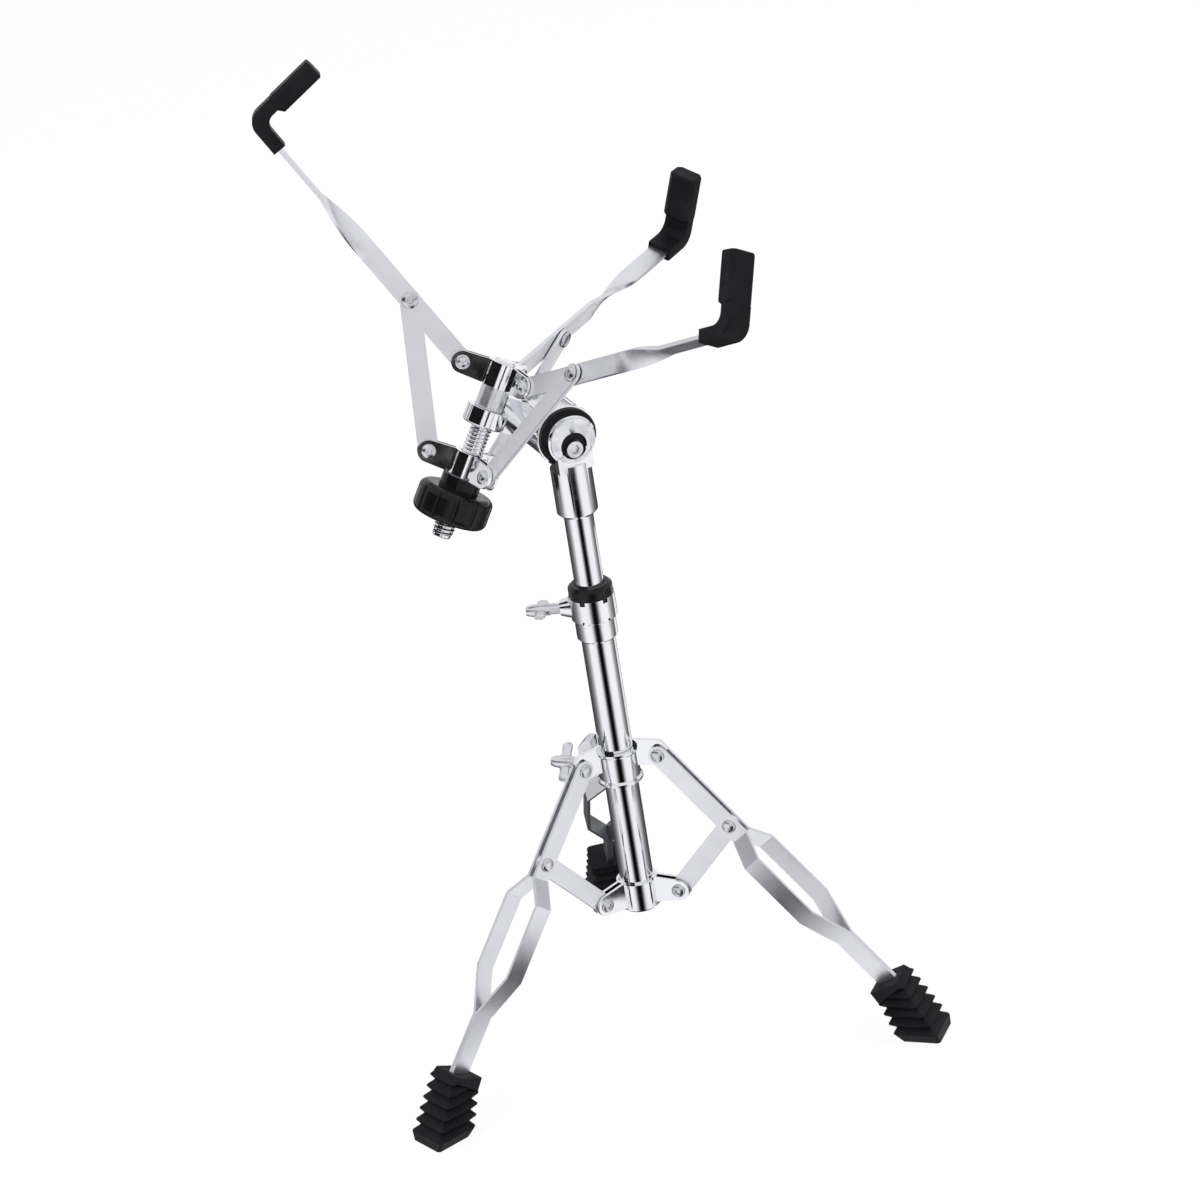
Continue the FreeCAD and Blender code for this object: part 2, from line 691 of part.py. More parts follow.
def leg_strip(label, side):
    """Make one strip of a leg: along the strut, out into the loop, back to the other strip."""
    body = new_body(label)
    sign = "" if side > 0 else "-"
    near = f"{sign}(bar_thickness / 2 + side_gap + strip_thickness / 2)"
    wide = f"{sign}loop_spread"
    far = f"{sign}(strip_thickness + strip_seam) / 2"
    first = "leg_strut_length + loop_start"
    second = f"{first} + loop_rise"
    third = f"{second} + loop_straight"
    fourth = f"{third} + loop_fall"
    path = route(sketch(body, "XY_Plane"), [
        ("0", near), (first, near), (second, wide), (third, wide), (fourth, far), ("strip_length", far)])
    section = box_outline(sketch(body, "YZ_Plane"), f"{near} - strip_thickness / 2",
                          f"{near} + strip_thickness / 2", "-strip_width / 2", "strip_width / 2")
    pipe = body.newObject("PartDesign::AdditivePipe", "pipe")
    pipe.Profile = section
    pipe.Spine = (path, [f"Edge{number}" for number in range(1, path.GeometryCount + 1)])
    pipe.Transition = "Right corner"
    lift = f"-({near})"
    pad(body, circle(sketch(body, "XZ_Plane", lift), "strip_width / 2"), "strip_thickness")
    for x in ("0", "leg_strut_length"):
        cut(body, circle(sketch(body, "XZ_Plane", lift), "rivet_radius + fit_gap", x),
            "strip_thickness + side_gap")
    return body


FOOT_TOP = "(strip_length - foot_grip)"


def foot_section(body, x, z, turn, half, side):
    """Start a clipped rectangle across a foot, turned from level towards the leg's slope."""
    item = clipped_box(sketch(body, "XY_Plane"), f"-({half})", half, f"-({side})", side, "foot_corner")
    item.AttachmentOffset = place("0", "0", "0", Y_DIR, -size(turn))
    item.setExpression("AttachmentOffset.Base.x", scoped(x))
    item.setExpression("AttachmentOffset.Base.z", scoped(z))
    return item


def foot_rib_sections(body):
    """List the level sections of a foot from its sole upwards, crests and roots of the ribs in turn."""
    levels = [("0", "foot_sole_inset")]
    for rib in range(FOOT_RIB_COUNT):
        crest = f"foot_sole_height + foot_rib_pitch * {rib}"
        levels += [(crest, "0"), (f"{crest} + foot_rib_pitch / 2", "foot_rib_depth")]
    sole = f"pivot_reach + {FOOT_TOP} * sin(leg_angle) + foot_step"
    for z, inset in levels:
        x = f"{sole} - ({z}) * tan(foot_lean_angle)"
        taper = f"({z}) * tan(foot_taper_angle) - {inset}"
        yield foot_section(body, x, z, "0", f"foot_sole_half - {taper}", f"foot_sole_side - {taper}")


def leg_spot(distance):
    """Give the radius and height of a point on a leg, a distance down from its upper pivot."""
    return (f"pivot_reach + ({distance}) * sin(leg_angle)",
            f"{UPPER_PIVOT_HEIGHT} - ({distance}) * cos(leg_angle)")


def ruled_loft(body, items):
    """Join sections by straight lines."""
    loft = body.newObject("PartDesign::AdditiveLoft", "loft")
    loft.Profile = items[0]
    loft.Sections = items[1:]
    loft.Ruled = True
    doc.recompute()
    return loft


def make_foot(label, number):
    """Make one foot: level ribs, cut off under a sloping collar, and a seat for the leg's end."""
    body = new_body(label)
    ruled_loft(body, list(foot_rib_sections(body)))
    middle = leg_spot(f"{FOOT_TOP} + foot_collar_height / 2")
    slope = "(leg_angle + foot_top_angle) / 2"
    above = foot_section(body, *middle, slope, "2 * foot_sole_half", "2 * foot_sole_side")
    cut(body, above, "2 * foot_sole_half", ALONG)
    top = foot_section(body, *leg_spot(FOOT_TOP), "foot_top_angle", "foot_top_half", "foot_collar_side")
    low = foot_section(body, *leg_spot(f"{FOOT_TOP} + foot_collar_height"), "leg_angle",
                       "foot_collar_half", "foot_collar_side")
    ruled_loft(body, [top, low])
    room = sketch(body, "YZ_Plane")
    box_outline(room, "-strip_thickness - strip_seam", "strip_thickness + strip_seam",
                "-strip_width / 2 - fit_gap", "strip_width / 2 + fit_gap")
    room.setExpression("AttachmentOffset.Base.z", None)
    lean = place("pivot_reach", "0", UPPER_PIVOT_HEIGHT, Y_DIR, QUARTER_TURN - size("leg_angle"))
    start = lean * place(f"{FOOT_TOP} - overrun", "0", "0")
    room.AttachmentOffset = attachment_turn(start)
    cut(body, room, "foot_grip + overrun + fit_gap", ALONG)
    body.Placement = tripod_frame(number)


def attachment_turn(frame):
    """Turn a frame whose X is a sketch's normal into an offset from the YZ plane."""
    on_plane = FreeCAD.Placement(FreeCAD.Vector(0, 0, 0), FreeCAD.Rotation(Y_DIR, Z_DIR, X_DIR, "ZXY"))
    return on_plane.inverse() * frame * on_plane


def make_legs():
    """Make three legs with their struts, strips, rivets and feet."""
    raised = QUARTER_TURN - size("leg_angle")
    for number, name in enumerate(LEG_NAMES):
        frame = tripod_frame(number)
        strut = flat_bar(f"leg_{name}_strut", "leg_strut_length", "bar_width", "bar_thickness",
                         "rivet_radius + running_gap", "rivet_radius + running_gap")
        strut.Placement = frame * place("pivot_reach", "0", LOWER_PIVOT_HEIGHT, Y_DIR, -raised)
        hung = frame * place("pivot_reach", "0", UPPER_PIVOT_HEIGHT, Y_DIR, raised)
        for side, word in ((1, "a"), (-1, "b")):
            leg_strip(f"leg_{name}_strip_{word}", side).Placement = hung
        pins = new_body(f"leg_{name}_rivets")
        half = "bar_thickness / 2 + side_gap + strip_thickness"
        made = rivet(pins, "0", f"-({half})", half)
        repeat_along(pins, [made], "X_Axis", "leg_strut_length")
        pins.Placement = hung
        make_foot(f"leg_{name}_foot", number)


# Tilter

HEAD_BACK = "(head_front - head_thickness)"
SPIGOT_END = f"(spigot_length - {HEAD_BACK})"


def make_tilter_fixed_half():
    """Make the socket with its round head, and the plate, screw, stud and washer on it."""
    body = turned("tilter_socket", [
        ("0", "-head_front"), ("head_radius - head_edge", "-head_front"),
        ("head_radius", "-head_front + head_edge"), ("head_radius", f"-{HEAD_BACK}"),
        ("spigot_radius", f"-{HEAD_BACK}"), ("spigot_radius", SPIGOT_END), ("0", SPIGOT_END)],
        "Y_Axis", "XY_Plane")
    post = outline(sketch(body, "XZ_Plane"), [
        ("0", "-socket_bottom"), ("socket_radius - socket_chamfer", "-socket_bottom"),
        ("socket_radius", "-socket_bottom + socket_chamfer"), ("socket_radius", "-socket_front_top"),
        ("0", "-socket_front_top")])
    revolve(body, post, "Z_Axis")
    behind = box_outline(sketch(body, "XZ_Plane", HEAD_BACK), "-socket_radius", "socket_radius",
                         "-socket_shoulder", "overrun - socket_front_top")
    cut(body, behind, "2 * socket_radius", AGAINST)
    web = box_outline(sketch(body, "XZ_Plane", HEAD_BACK), "-socket_web_half", "socket_web_half",
                      "-socket_shoulder", "-spigot_radius")
    pad(body, web, "head_thickness", ALONG)
    bore = circle(sketch(body, "XY_Plane", "-socket_bottom"), "upper_tube_radius + fit_gap")
    cut(body, bore, "socket_bore_depth", ALONG)
    front = sketch(body, "XZ_Plane", "head_front")
    cut(body, circle(front, "face_radius + fit_gap"), "face_seat_depth", AGAINST)
    hole = circle(sketch(body, "XZ_Plane", f"-{SPIGOT_END}"), "stud_radius + fit_gap")
    cut(body, hole, f"{SPIGOT_END} + stud_front", ALONG)
    screw_way = circle(sketch(body, "XZ_Plane", "head_front"), "face_screw_stem + fit_gap", "0",
                       "-face_screw_drop")
    cut(body, screw_way, "face_seat_depth + face_screw_bite", AGAINST)
    body.Placement = TILTER_FRAME

    seat = "head_front - face_seat_depth"
    face = "head_front + face_rise"
    plate = new_body("tilter_face_plate")
    pad(plate, circle(sketch(plate, "XZ_Plane", seat), "face_radius"), "face_seat_depth + face_rise", ALONG)
    recess = circle(sketch(plate, "XZ_Plane", face), "face_recess_radius", "0", "-face_recess_drop")
    cut(plate, recess, "face_recess_depth", AGAINST)
    for x in ("-face_dimple_side", "face_dimple_side"):
        dimple = circle(sketch(plate, "XZ_Plane", face), "face_dimple_radius", x, "-face_dimple_drop")
        cut(plate, dimple, "face_dimple_depth", AGAINST)
    hole = circle(sketch(plate, "XZ_Plane", seat), "face_screw_stem + fit_gap", "0", "-face_screw_drop")
    cut(plate, hole, "2 * (face_seat_depth + face_rise + overrun)")
    plate.Placement = TILTER_FRAME

    screw = new_body("tilter_face_screw")
    floor = f"{face} - face_recess_depth"
    pad(screw, circle(sketch(screw, "XZ_Plane", floor), "face_screw_radius"), "face_screw_rise", ALONG)
    stem = circle(sketch(screw, "XZ_Plane", f"{seat} - face_screw_bite"), "face_screw_stem")
    pad(screw, stem, f"{floor} - ({seat}) + face_screw_bite", ALONG)
    key = hexagon(sketch(screw, "XZ_Plane", f"{floor} + face_screw_rise"), "face_screw_key_half")
    cut(screw, key, "face_screw_key_depth", AGAINST)
    screw.Placement = TILTER_FRAME * place("0", "0", "-face_screw_drop")

    stud = new_body("tilter_stud")
    tail = "barrel_back + nut_hub_length + stud_tail"
    pad(stud, circle(sketch(stud, "XZ_Plane", f"-({tail})"), "stud_radius"), f"{tail} + stud_front", ALONG)
    stud.Placement = TILTER_FRAME

    washer = new_body("tilter_washer")
    ring = circle(sketch(washer, "XZ_Plane", f"{HEAD_BACK} - washer_thickness"), "washer_radius")
    pad(washer, circle(ring, "spigot_radius + fit_gap"), "washer_thickness", ALONG)
    washer.Placement = TILTER_FRAME


def make_tilter_turning_half():
    """Make the barrel with the arm and eye that hold the rod, and the wing nut behind it."""
    start = f"washer_thickness + running_gap - {HEAD_BACK}"
    seat = f"{SPIGOT_END} + side_gap"
    body = turned("rod_holder", [
        ("stud_radius + running_gap", seat), ("spigot_radius + running_gap", seat),
        ("spigot_radius + running_gap", start), ("flange_radius", start),
        ("flange_radius", f"{start} + flange_thickness"), ("barrel_radius", f"{start} + flange_thickness"),
        ("barrel_radius", "barrel_back - barrel_edge"), ("barrel_radius - barrel_edge", "barrel_back"),
        ("stud_radius + running_gap", "barrel_back")], "Y_Axis", "XY_Plane")
    low = "-eye_top - eye_height"
    arm = box_outline(sketch(body, "XZ_Plane", "-rod_back"), "-rod_offset", "-spigot_radius",
                      low, "holder_arm_above")
    pad(body, arm, "2 * arm_side_half")
    eye = circle(sketch(body, "XY_Plane", low), "eye_radius", "-rod_offset", "rod_back")
    pad(body, eye, "eye_height", ALONG)
    hole = circle(sketch(body, "XY_Plane"), "rod_radius + fit_gap", "-rod_offset", "rod_back")
    cut(body, hole, "2 * (eye_top + eye_height + overrun)")
    over = circle(sketch(body, "XY_Plane", "-eye_top"), "sleeve_radius + side_gap", "-rod_offset", "rod_back")
    cut(body, over, "holder_arm_above + eye_top + overrun", ALONG)
    round_edges(body, "eye_edge", lambda edge, middle: eye_rim(edge))
    body.Placement = ROD_FRAME

    nut = new_body("tilter_wing_nut")
    bore = "stud_radius + running_gap"
    profile = outline(sketch(nut, "XZ_Plane"), [
        ("running_gap", bore), ("running_gap", "nut_hub_radius"),
        ("nut_hub_length", "nut_hub_radius - wing_hub_edge"), ("nut_hub_length", bore)])
    revolve(nut, profile, "X_Axis")
    wings(nut, "wing_hub_edge", "nut_hub_length", "nut_wing_span_half", "nut_wing_tip_radius",
          "nut_wing_lean")
    cut(nut, circle(sketch(nut, "YZ_Plane"), bore), "2 * (nut_hub_length + nut_wing_lean + overrun)")
    nut.Placement = TILTER_FRAME * place("0", "barrel_back", "0", Z_DIR, QUARTER_TURN)


def eye_rim(edge):
    """Tell whether an edge is the eye's lower rim."""
    low = size("-eye_top - eye_height")
    if not isinstance(edge.Curve, Part.Circle):
        return False
    wide = abs(edge.Curve.Radius - size("eye_radius")) < size("fit_gap")
    return wide and abs(edge.Vertexes[0].Point.z - low) < size("fit_gap")


# Basket

def make_rod():
    """Make the rod, the sleeve on it, the hub and the hub's rivets."""
    end_radius = "rod_radius - rod_end_chamfer"
    turned("basket_rod", [
        ("0", "rod_above_hub"), (end_radius, "rod_above_hub"),
        ("rod_radius", "rod_above_hub - rod_end_chamfer"),
        ("rod_radius", "rod_end_chamfer - rod_below_hub"),
        (end_radius, "-rod_below_hub"), ("0", "-rod_below_hub")]).Placement = HUB_FRAME

    sleeve = new_body("rod_sleeve")
    item = circle(circle(sketch(sleeve, "XY_Plane", "-hub_rise - eye_top"), "sleeve_radius"),
                  "rod_radius + fit_gap")
    pad(sleeve, item, "hub_rise + eye_top - hub_half_height", ALONG)
    sleeve.Placement = HUB_FRAME

    hub = new_body("basket_hub")
    band = circle(circle(sketch(hub, "XY_Plane", "-hub_half_height"), "hub_radius"), "rod_radius + fit_gap")
    pad(hub, band, "2 * hub_half_height", ALONG)
    ear_pairs(hub, "basket_pivot", "basket_plane", "rod_radius + ear_thickness", "hub_half_height")
    hub.Placement = HUB_FRAME

    half = "bar_thickness / 2 + side_gap + ear_thickness"
    pins = new_body("hub_rivets")
    made = rivet(pins, "basket_pivot", f"basket_plane - ({half})", f"basket_plane + {half}")
    repeat_round(pins, [made], "Z_Axis", FOLDS)
    pins.Placement = HUB_FRAME


def make_lower_bracket():
    """Make the sliding bracket with its screws, and the fluted knob under it."""
    body = new_body("lower_bracket")
    band = circle(circle(sketch(body, "XY_Plane", "-hub_half_height"), "bracket_radius"),
                  "rod_radius + sliding_gap")
    pad(body, band, "2 * hub_half_height", ALONG)
    ear_pairs(body, "basket_pivot", "-basket_plane", "rod_radius + ear_thickness", "hub_half_height")
    body.Placement = BRACKET_FRAME

    half = "bar_thickness / 2 + side_gap + ear_thickness"
    pins = new_body("bracket_rivets")
    made = rivet(pins, "basket_pivot", f"-basket_plane - ({half})", f"-basket_plane + {half}")
    repeat_round(pins, [made], "Z_Axis", FOLDS)
    pins.Placement = BRACKET_FRAME

    bore = "rod_radius + sliding_gap"
    top = "-hub_half_height - running_gap"
    shoulder = f"{top} - knob_neck_height"
    foot = f"{shoulder} - knob_height"
    knob = turned("basket_knob", [
        (bore, top), ("knob_neck_radius", top), ("knob_neck_radius", shoulder), ("knob_radius", shoulder),
        ("knob_radius", foot), (bore, foot)])
    round_edges(knob, "knob_edge", lambda edge, middle: isinstance(edge.Curve, Part.Circle)
                and abs(edge.Curve.Radius - size("knob_radius")) < size("fit_gap"))
    flute = circle(sketch(knob, "XY_Plane", foot), "flute_radius", "flute_reach")
    made = cut(knob, flute, "2 * (knob_neck_height + knob_height)")
    repeat_round(knob, [made], "Z_Axis", FLUTE_COUNT)
    knob.Placement = BRACKET_FRAME


def bent(start, corner, upright, inside, outside):
    """List the outline of a bar along X that bends up at its corner, thick to both sides of its line."""
    bend = "tan(tip_angle / 2)"
    end_x = f"{corner} + ({upright}) * cos(tip_angle)"
    end_z = f"({upright}) * sin(tip_angle)"
    return [
        (start, f"-{outside}"), (f"{corner} + {outside} * {bend}", f"-{outside}"),
        (f"{end_x} + {outside} * sin(tip_angle)", f"{end_z} - {outside} * cos(tip_angle)"),
        (f"{end_x} - {inside} * sin(tip_angle)", f"{end_z} + {inside} * cos(tip_angle)"),
        (f"{corner} - {inside} * {bend}", inside), (start, inside)]


def make_arm(label):
    """Make one arm: a flat bar, a quarter twist and an end bent up on the flat."""
    body = new_body(label)
    half = "bar_width / 2"
    pad(body, box_outline(sketch(body, "XZ_Plane"), "0", "twist_start", f"-{half}", half), "bar_thickness")
    pad(body, circle(sketch(body, "XZ_Plane"), half), "bar_thickness")
    items = []
    for step in range(TWIST_STEPS + 1):
        share = step / TWIST_STEPS
        item = box_outline(sketch(body, "YZ_Plane", f"twist_start + twist_length * {share}"),
                           "-bar_thickness / 2", "bar_thickness / 2", f"-{half}", half)
        item.AttachmentOffset = FreeCAD.Placement(item.AttachmentOffset.Base,
                                                  FreeCAD.Rotation(Z_DIR, QUARTER_TURN * share))
        items.append(item)
    ruled_loft(body, items)
    end = bent("twist_start + twist_length", "arm_corner", "arm_upright", "bar_thickness / 2",
               "bar_thickness / 2")
    pad(body, outline(sketch(body, "XZ_Plane"), end), "bar_width")
    cut(body, circle(sketch(body, "XZ_Plane"), "rivet_radius + running_gap"), "bar_thickness + overrun")
    cut(body, circle(sketch(body, "XZ_Plane"), "arm_pin_radius + fit_gap", "arm_pin_distance"),
        "bar_thickness + overrun")
    return body


def tip_section(body, rise, inside, outside, side):
    """Start a clipped section across a tip's upright part, some way up it."""
    item = sketch(body, "XY_Plane", f"({rise}) * sin(tip_angle)")
    item.AttachmentOffset = place("0", "0", "0", Y_DIR, QUARTER_TURN - size("tip_angle"))
    item.setExpression("AttachmentOffset.Base.x", scoped(f"arm_corner + ({rise}) * cos(tip_angle)"))
    return clipped_box(item, f"-({inside})", outside, f"-({side})", side, "grip_edge")


def make_tip(label):
    """Make one rubber tip: a bent sleeve over the arm's end with a thicker grip part."""
    body = new_body(label)
    sleeve = bent("tip_start", "arm_corner", "(grip_start + grip_edge)", "tip_half", "tip_half")
    pad(body, outline(sketch(body, "XZ_Plane"), sleeve), "2 * tip_side")
    near = size("fit_gap")
    outer_corner = size("arm_corner + tip_half * tan(tip_angle / 2)")
    inner_corner = size("arm_corner - tip_half * tan(tip_angle / 2)")
    round_edges(body, "tip_outer_bend", lambda edge, middle: along_y(edge)
                and abs(middle.x - outer_corner) < near and middle.z < 0)
    round_edges(body, "tip_inner_bend", lambda edge, middle: along_y(edge)
                and abs(middle.x - inner_corner) < near and middle.z > 0)
    side = size("tip_side")
    round_edges(body, "tip_edge", lambda edge, middle: abs(abs(middle.y) - side) < near)
    neck = "tip_half - tip_edge / 2"
    root = tip_section(body, "grip_start", neck, neck, "tip_side - tip_edge / 2")
    grip = tip_section(body, "grip_start + grip_shoulder", "grip_inside", "grip_outside", "grip_side")
    ruled_loft(body, [root, grip])
    pad(body, grip, "tip_upright - grip_start - grip_shoulder", ALONG)
    top = size("tip_upright")
    upward = FreeCAD.Vector(size("cos(tip_angle)"), 0, size("sin(tip_angle)"))
    corner = FreeCAD.Vector(size("arm_corner"), 0, 0)
    round_edges(body, "tip_edge", lambda edge, middle: abs((middle - corner).dot(upward) - top) < near)
    room = bent("tip_start - overrun", "arm_corner", "arm_upright + fit_gap", "(bar_thickness / 2 + fit_gap)",
                "(bar_thickness / 2 + fit_gap)")
    cut(body, outline(sketch(body, "XZ_Plane"), room), "bar_width + 2 * fit_gap")
    return body


def make_basket():
    """Make three arms with their tips, rivets and struts."""
    reach = size("arm_pin_distance * sin(arm_angle)")
    rise = size("arm_pin_distance * cos(arm_angle) + pivot_drop")
    strut_angle = math.degrees(math.atan2(reach, rise))
    length = ("sqrt(arm_pin_distance ^ 2 + pivot_drop ^ 2"
              " + 2 * arm_pin_distance * pivot_drop * cos(arm_angle))")
    for number, name in enumerate(ARM_NAMES):
        frame = basket_frame(number)
        up = frame * place("basket_pivot", "basket_plane", "0", Y_DIR, size("arm_angle") - QUARTER_TURN)
        make_arm(f"arm_{name}_bar").Placement = up
        make_tip(f"arm_{name}_tip").Placement = up
        pin = new_body(f"arm_{name}_rivet")
        low = "-2 * basket_plane - bar_thickness / 2 - side_gap"
        rivet(pin, "0", low, "bar_thickness / 2", "arm_pin_radius", "arm_pin_head_radius")
        pin.Placement = up * place("arm_pin_distance", "0", "0")
        strut = flat_bar(f"arm_{name}_strut", length, "bar_width", "bar_thickness",
                         "rivet_radius + running_gap", "arm_pin_radius + arm_pin_slack")
        strut.Placement = frame * place("basket_pivot", "-basket_plane", "-pivot_drop", Y_DIR,
                                        strut_angle - QUARTER_TURN)


def write_parts():
    """Check every sub-part and write it to its own file."""
    doc.recompute()
    troubled = [item.Name for item in doc.Objects if "Invalid" in item.State or "Error" in item.State]
    if troubled:
        raise RuntimeError(f"objects in error: {troubled}")
    os.makedirs("parts", exist_ok=True)
    bodies = [item for item in doc.Objects if item.TypeId == "PartDesign::Body"]
    for body in bodies:
        if body.Shape.isNull() or not body.Shape.isValid():
            raise RuntimeError(f"no valid shape: {body.Label}")
        body.Shape.exportStep(f"parts/{body.Label}.step")
        print(body.Label, len(body.Shape.Solids), round(body.Shape.Volume, 1))


make_column()
make_height_clamp()
make_bottom_bracket()
make_tripod_collar()
make_legs()
make_tilter_fixed_half()
make_tilter_turning_half()
make_rod()
make_lower_bracket()
make_basket()
write_parts()
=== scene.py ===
import json
import logging
import math
from dataclasses import dataclass, field
from enum import Enum
from typing import Callable, ClassVar, Iterable, Sequence

import bpy
from mathutils import Matrix, Quaternion, Vector


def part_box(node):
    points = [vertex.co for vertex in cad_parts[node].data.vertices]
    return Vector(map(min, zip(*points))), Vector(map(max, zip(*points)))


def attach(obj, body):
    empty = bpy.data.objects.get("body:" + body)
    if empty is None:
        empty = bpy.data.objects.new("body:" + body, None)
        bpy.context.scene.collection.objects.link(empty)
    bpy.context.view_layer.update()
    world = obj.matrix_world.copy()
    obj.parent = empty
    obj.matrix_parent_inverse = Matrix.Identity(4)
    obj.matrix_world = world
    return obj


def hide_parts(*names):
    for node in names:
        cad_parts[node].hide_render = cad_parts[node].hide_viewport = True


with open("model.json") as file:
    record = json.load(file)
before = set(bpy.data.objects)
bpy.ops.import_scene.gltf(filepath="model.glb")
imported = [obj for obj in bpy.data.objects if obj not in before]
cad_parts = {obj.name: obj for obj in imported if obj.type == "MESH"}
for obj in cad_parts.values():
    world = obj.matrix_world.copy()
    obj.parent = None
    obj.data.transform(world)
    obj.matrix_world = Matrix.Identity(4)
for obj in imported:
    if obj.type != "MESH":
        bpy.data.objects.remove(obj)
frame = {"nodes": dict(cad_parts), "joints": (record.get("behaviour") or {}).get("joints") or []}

LOG = logging.getLogger("snare_stand")
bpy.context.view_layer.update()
JOINTS = {joint["name"]: joint for joint in frame["joints"]}
LEGS = ("right", "rear", "left")
ARMS = ("front", "rear", "left")

MM = 0.001
ORIGIN = (0.0, 0.0, 0.0)
UP = Vector((0.0, 0.0, 1.0))
ALONG_X = Vector((1.0, 0.0, 0.0))

# Distance in metres at which vertices are one, and length below which a direction is none
WELD = 1e-6
NO_LENGTH = 1e-4

# Angles in degrees
FLAT_ANGLE = 0.6
QUARTER_TURN = 90.0
HALF_TURN = 180.0

# Range that a noise texture mostly keeps to
NOISE_LOW = 0.3
NOISE_HIGH = 0.7

# Numbers of a Mix node's sockets when it mixes colours
MIX_FIRST = 6
MIX_SECOND = 7
MIX_RESULT = 2

Triple = tuple[float, float, float]
Profile = Sequence[tuple[float, float]]
Stops = tuple[tuple[float, float], ...]


class RivetHead(Enum):
    """Shape of a rivet's heads."""

    DOME = "dome"
    HOLLOW = "hollow"
    DISC = "disc"


# Finishes


class NodeDesk:
    """A material's node tree with short calls for adding and joining nodes."""

    def __init__(self, name: str) -> None:
        """Start an empty material.

        Args:
            name: The material's name.
        """
        self.material = bpy.data.materials.new(name)
        self.material.use_nodes = True
        self.nodes = self.material.node_tree.nodes
        self.links = self.material.node_tree.links
        self.nodes.clear()
        self.output = self.nodes.new("ShaderNodeOutputMaterial")

    def add(self, kind: str, **settings: object) -> bpy.types.Node:
        """Add a node.

        Args:
            kind: Node type without its leading words.
            settings: Properties of the node, or values of its inputs by name.

        Returns:
            The new node.
        """
        node = self.nodes.new("ShaderNode" + kind)
        for key, value in settings.items():
            if hasattr(node, key):
                setattr(node, key, value)
            else:
                node.inputs[key.replace("_", " ")].default_value = value
        return node

    def join(self, source: bpy.types.NodeSocket, target: bpy.types.NodeSocket) -> None:
        """Link two sockets."""
        self.links.new(source, target)

    def noise(self, scale: float, detail: float, low: float = 0.0,
              high: float = 1.0) -> bpy.types.NodeSocket:
        """Add a noise on Object coordinates, spread over a range.

        Args:
            scale: Noise scale, in cells for each metre.
            detail: Number of finer layers.
            low: Value where the noise is low.
            high: Value where the noise is high.

        Returns:
            The ranged value's socket.
        """
        place = self.add("TexCoord")
        cells = self.add("TexNoise", Scale=scale, Detail=detail)
        self.join(place.outputs["Object"], cells.inputs["Vector"])
        spread = self.add("MapRange")
        spread.inputs["From Min"].default_value = NOISE_LOW
        spread.inputs["From Max"].default_value = NOISE_HIGH
        spread.inputs["To Min"].default_value = low
        spread.inputs["To Max"].default_value = high
        self.join(cells.outputs["Fac"], spread.inputs["Value"])
        return spread.outputs["Result"]

    def shade(self, factor: bpy.types.NodeSocket, first: Triple,
              second: Triple) -> bpy.types.NodeSocket:
        """Mix two colours by a factor.

        Args:
            factor: Socket that mixes them.
            first: Colour at zero.
            second: Colour at one.

        Returns:
            The mixed colour's socket.
        """
        blend = self.add("Mix", data_type="RGBA")
        blend.inputs[MIX_FIRST].default_value = (*first, 1.0)
        blend.inputs[MIX_SECOND].default_value = (*second, 1.0)
        self.join(factor, blend.inputs["Factor"])
        return blend.outputs[MIX_RESULT]

    def bump(self, height: bpy.types.NodeSocket, strength: float, depth: float,
             under: bpy.types.NodeSocket | None = None) -> bpy.types.NodeSocket:
        """Turn a height into a normal.

        Args:
            height: Socket of the height.
            strength: Strength of the bump.
            depth: Its depth in metres.
            under: Normal of a coarser relief that it lies on.

        Returns:
            The normal's socket.
        """
        node = self.add("Bump", Strength=strength, Distance=depth)
        self.join(height, node.inputs["Height"])
        if under:
            self.join(under, node.inputs["Normal"])
        return node.outputs["Normal"]


@dataclass(frozen=True)
class Finish:
    """A surface finish with fine variation of colour, gloss and relief."""

    name: str
    slot: str
    light: Triple
    dark: Triple
    metallic: float
    smooth: float
    rough: float
    cloud_scale: float
    grain_scale: float
    grain_strength: float
    grain_depth: float
    specular: float = 0.5
    wave_scale: float = 0.0
    wave_depth: float = 0.0
    tint_detail: ClassVar[float] = 3.0
    gloss_detail: ClassVar[float] = 5.0
    gloss_fineness: ClassVar[float] = 2.7
    grain_detail: ClassVar[float] = 2.0

    def material(self) -> bpy.types.Material:
        """Make the finish's material once.

        Returns:
            The material, the same one each time.
        """
        made = bpy.data.materials.get(self.name)
        if made:
            return made
        desk = NodeDesk(self.name)
        shader = desk.add("BsdfPrincipled")
        shader.inputs["Metallic"].default_value = self.metallic
        shader.inputs["Specular IOR Level"].default_value = self.specular
        tint = desk.noise(self.cloud_scale, self.tint_detail)
        desk.join(desk.shade(tint, self.light, self.dark), shader.inputs["Base Color"])
        gloss = desk.noise(self.cloud_scale * self.gloss_fineness, self.gloss_detail,
                           self.smooth, self.rough)
        desk.join(gloss, shader.inputs["Roughness"])
        wave = None
        if self.wave_depth:
            swell = desk.noise(self.wave_scale, detail=0.0)
            wave = desk.bump(swell, strength=1.0, depth=self.wave_depth)
        grain = desk.noise(self.grain_scale, self.grain_detail)
        relief = desk.bump(grain, self.grain_strength, self.grain_depth, wave)
        desk.join(relief, shader.inputs["Normal"])
        desk.join(shader.outputs["BSDF"], desk.output.inputs["Surface"])
        return desk.material


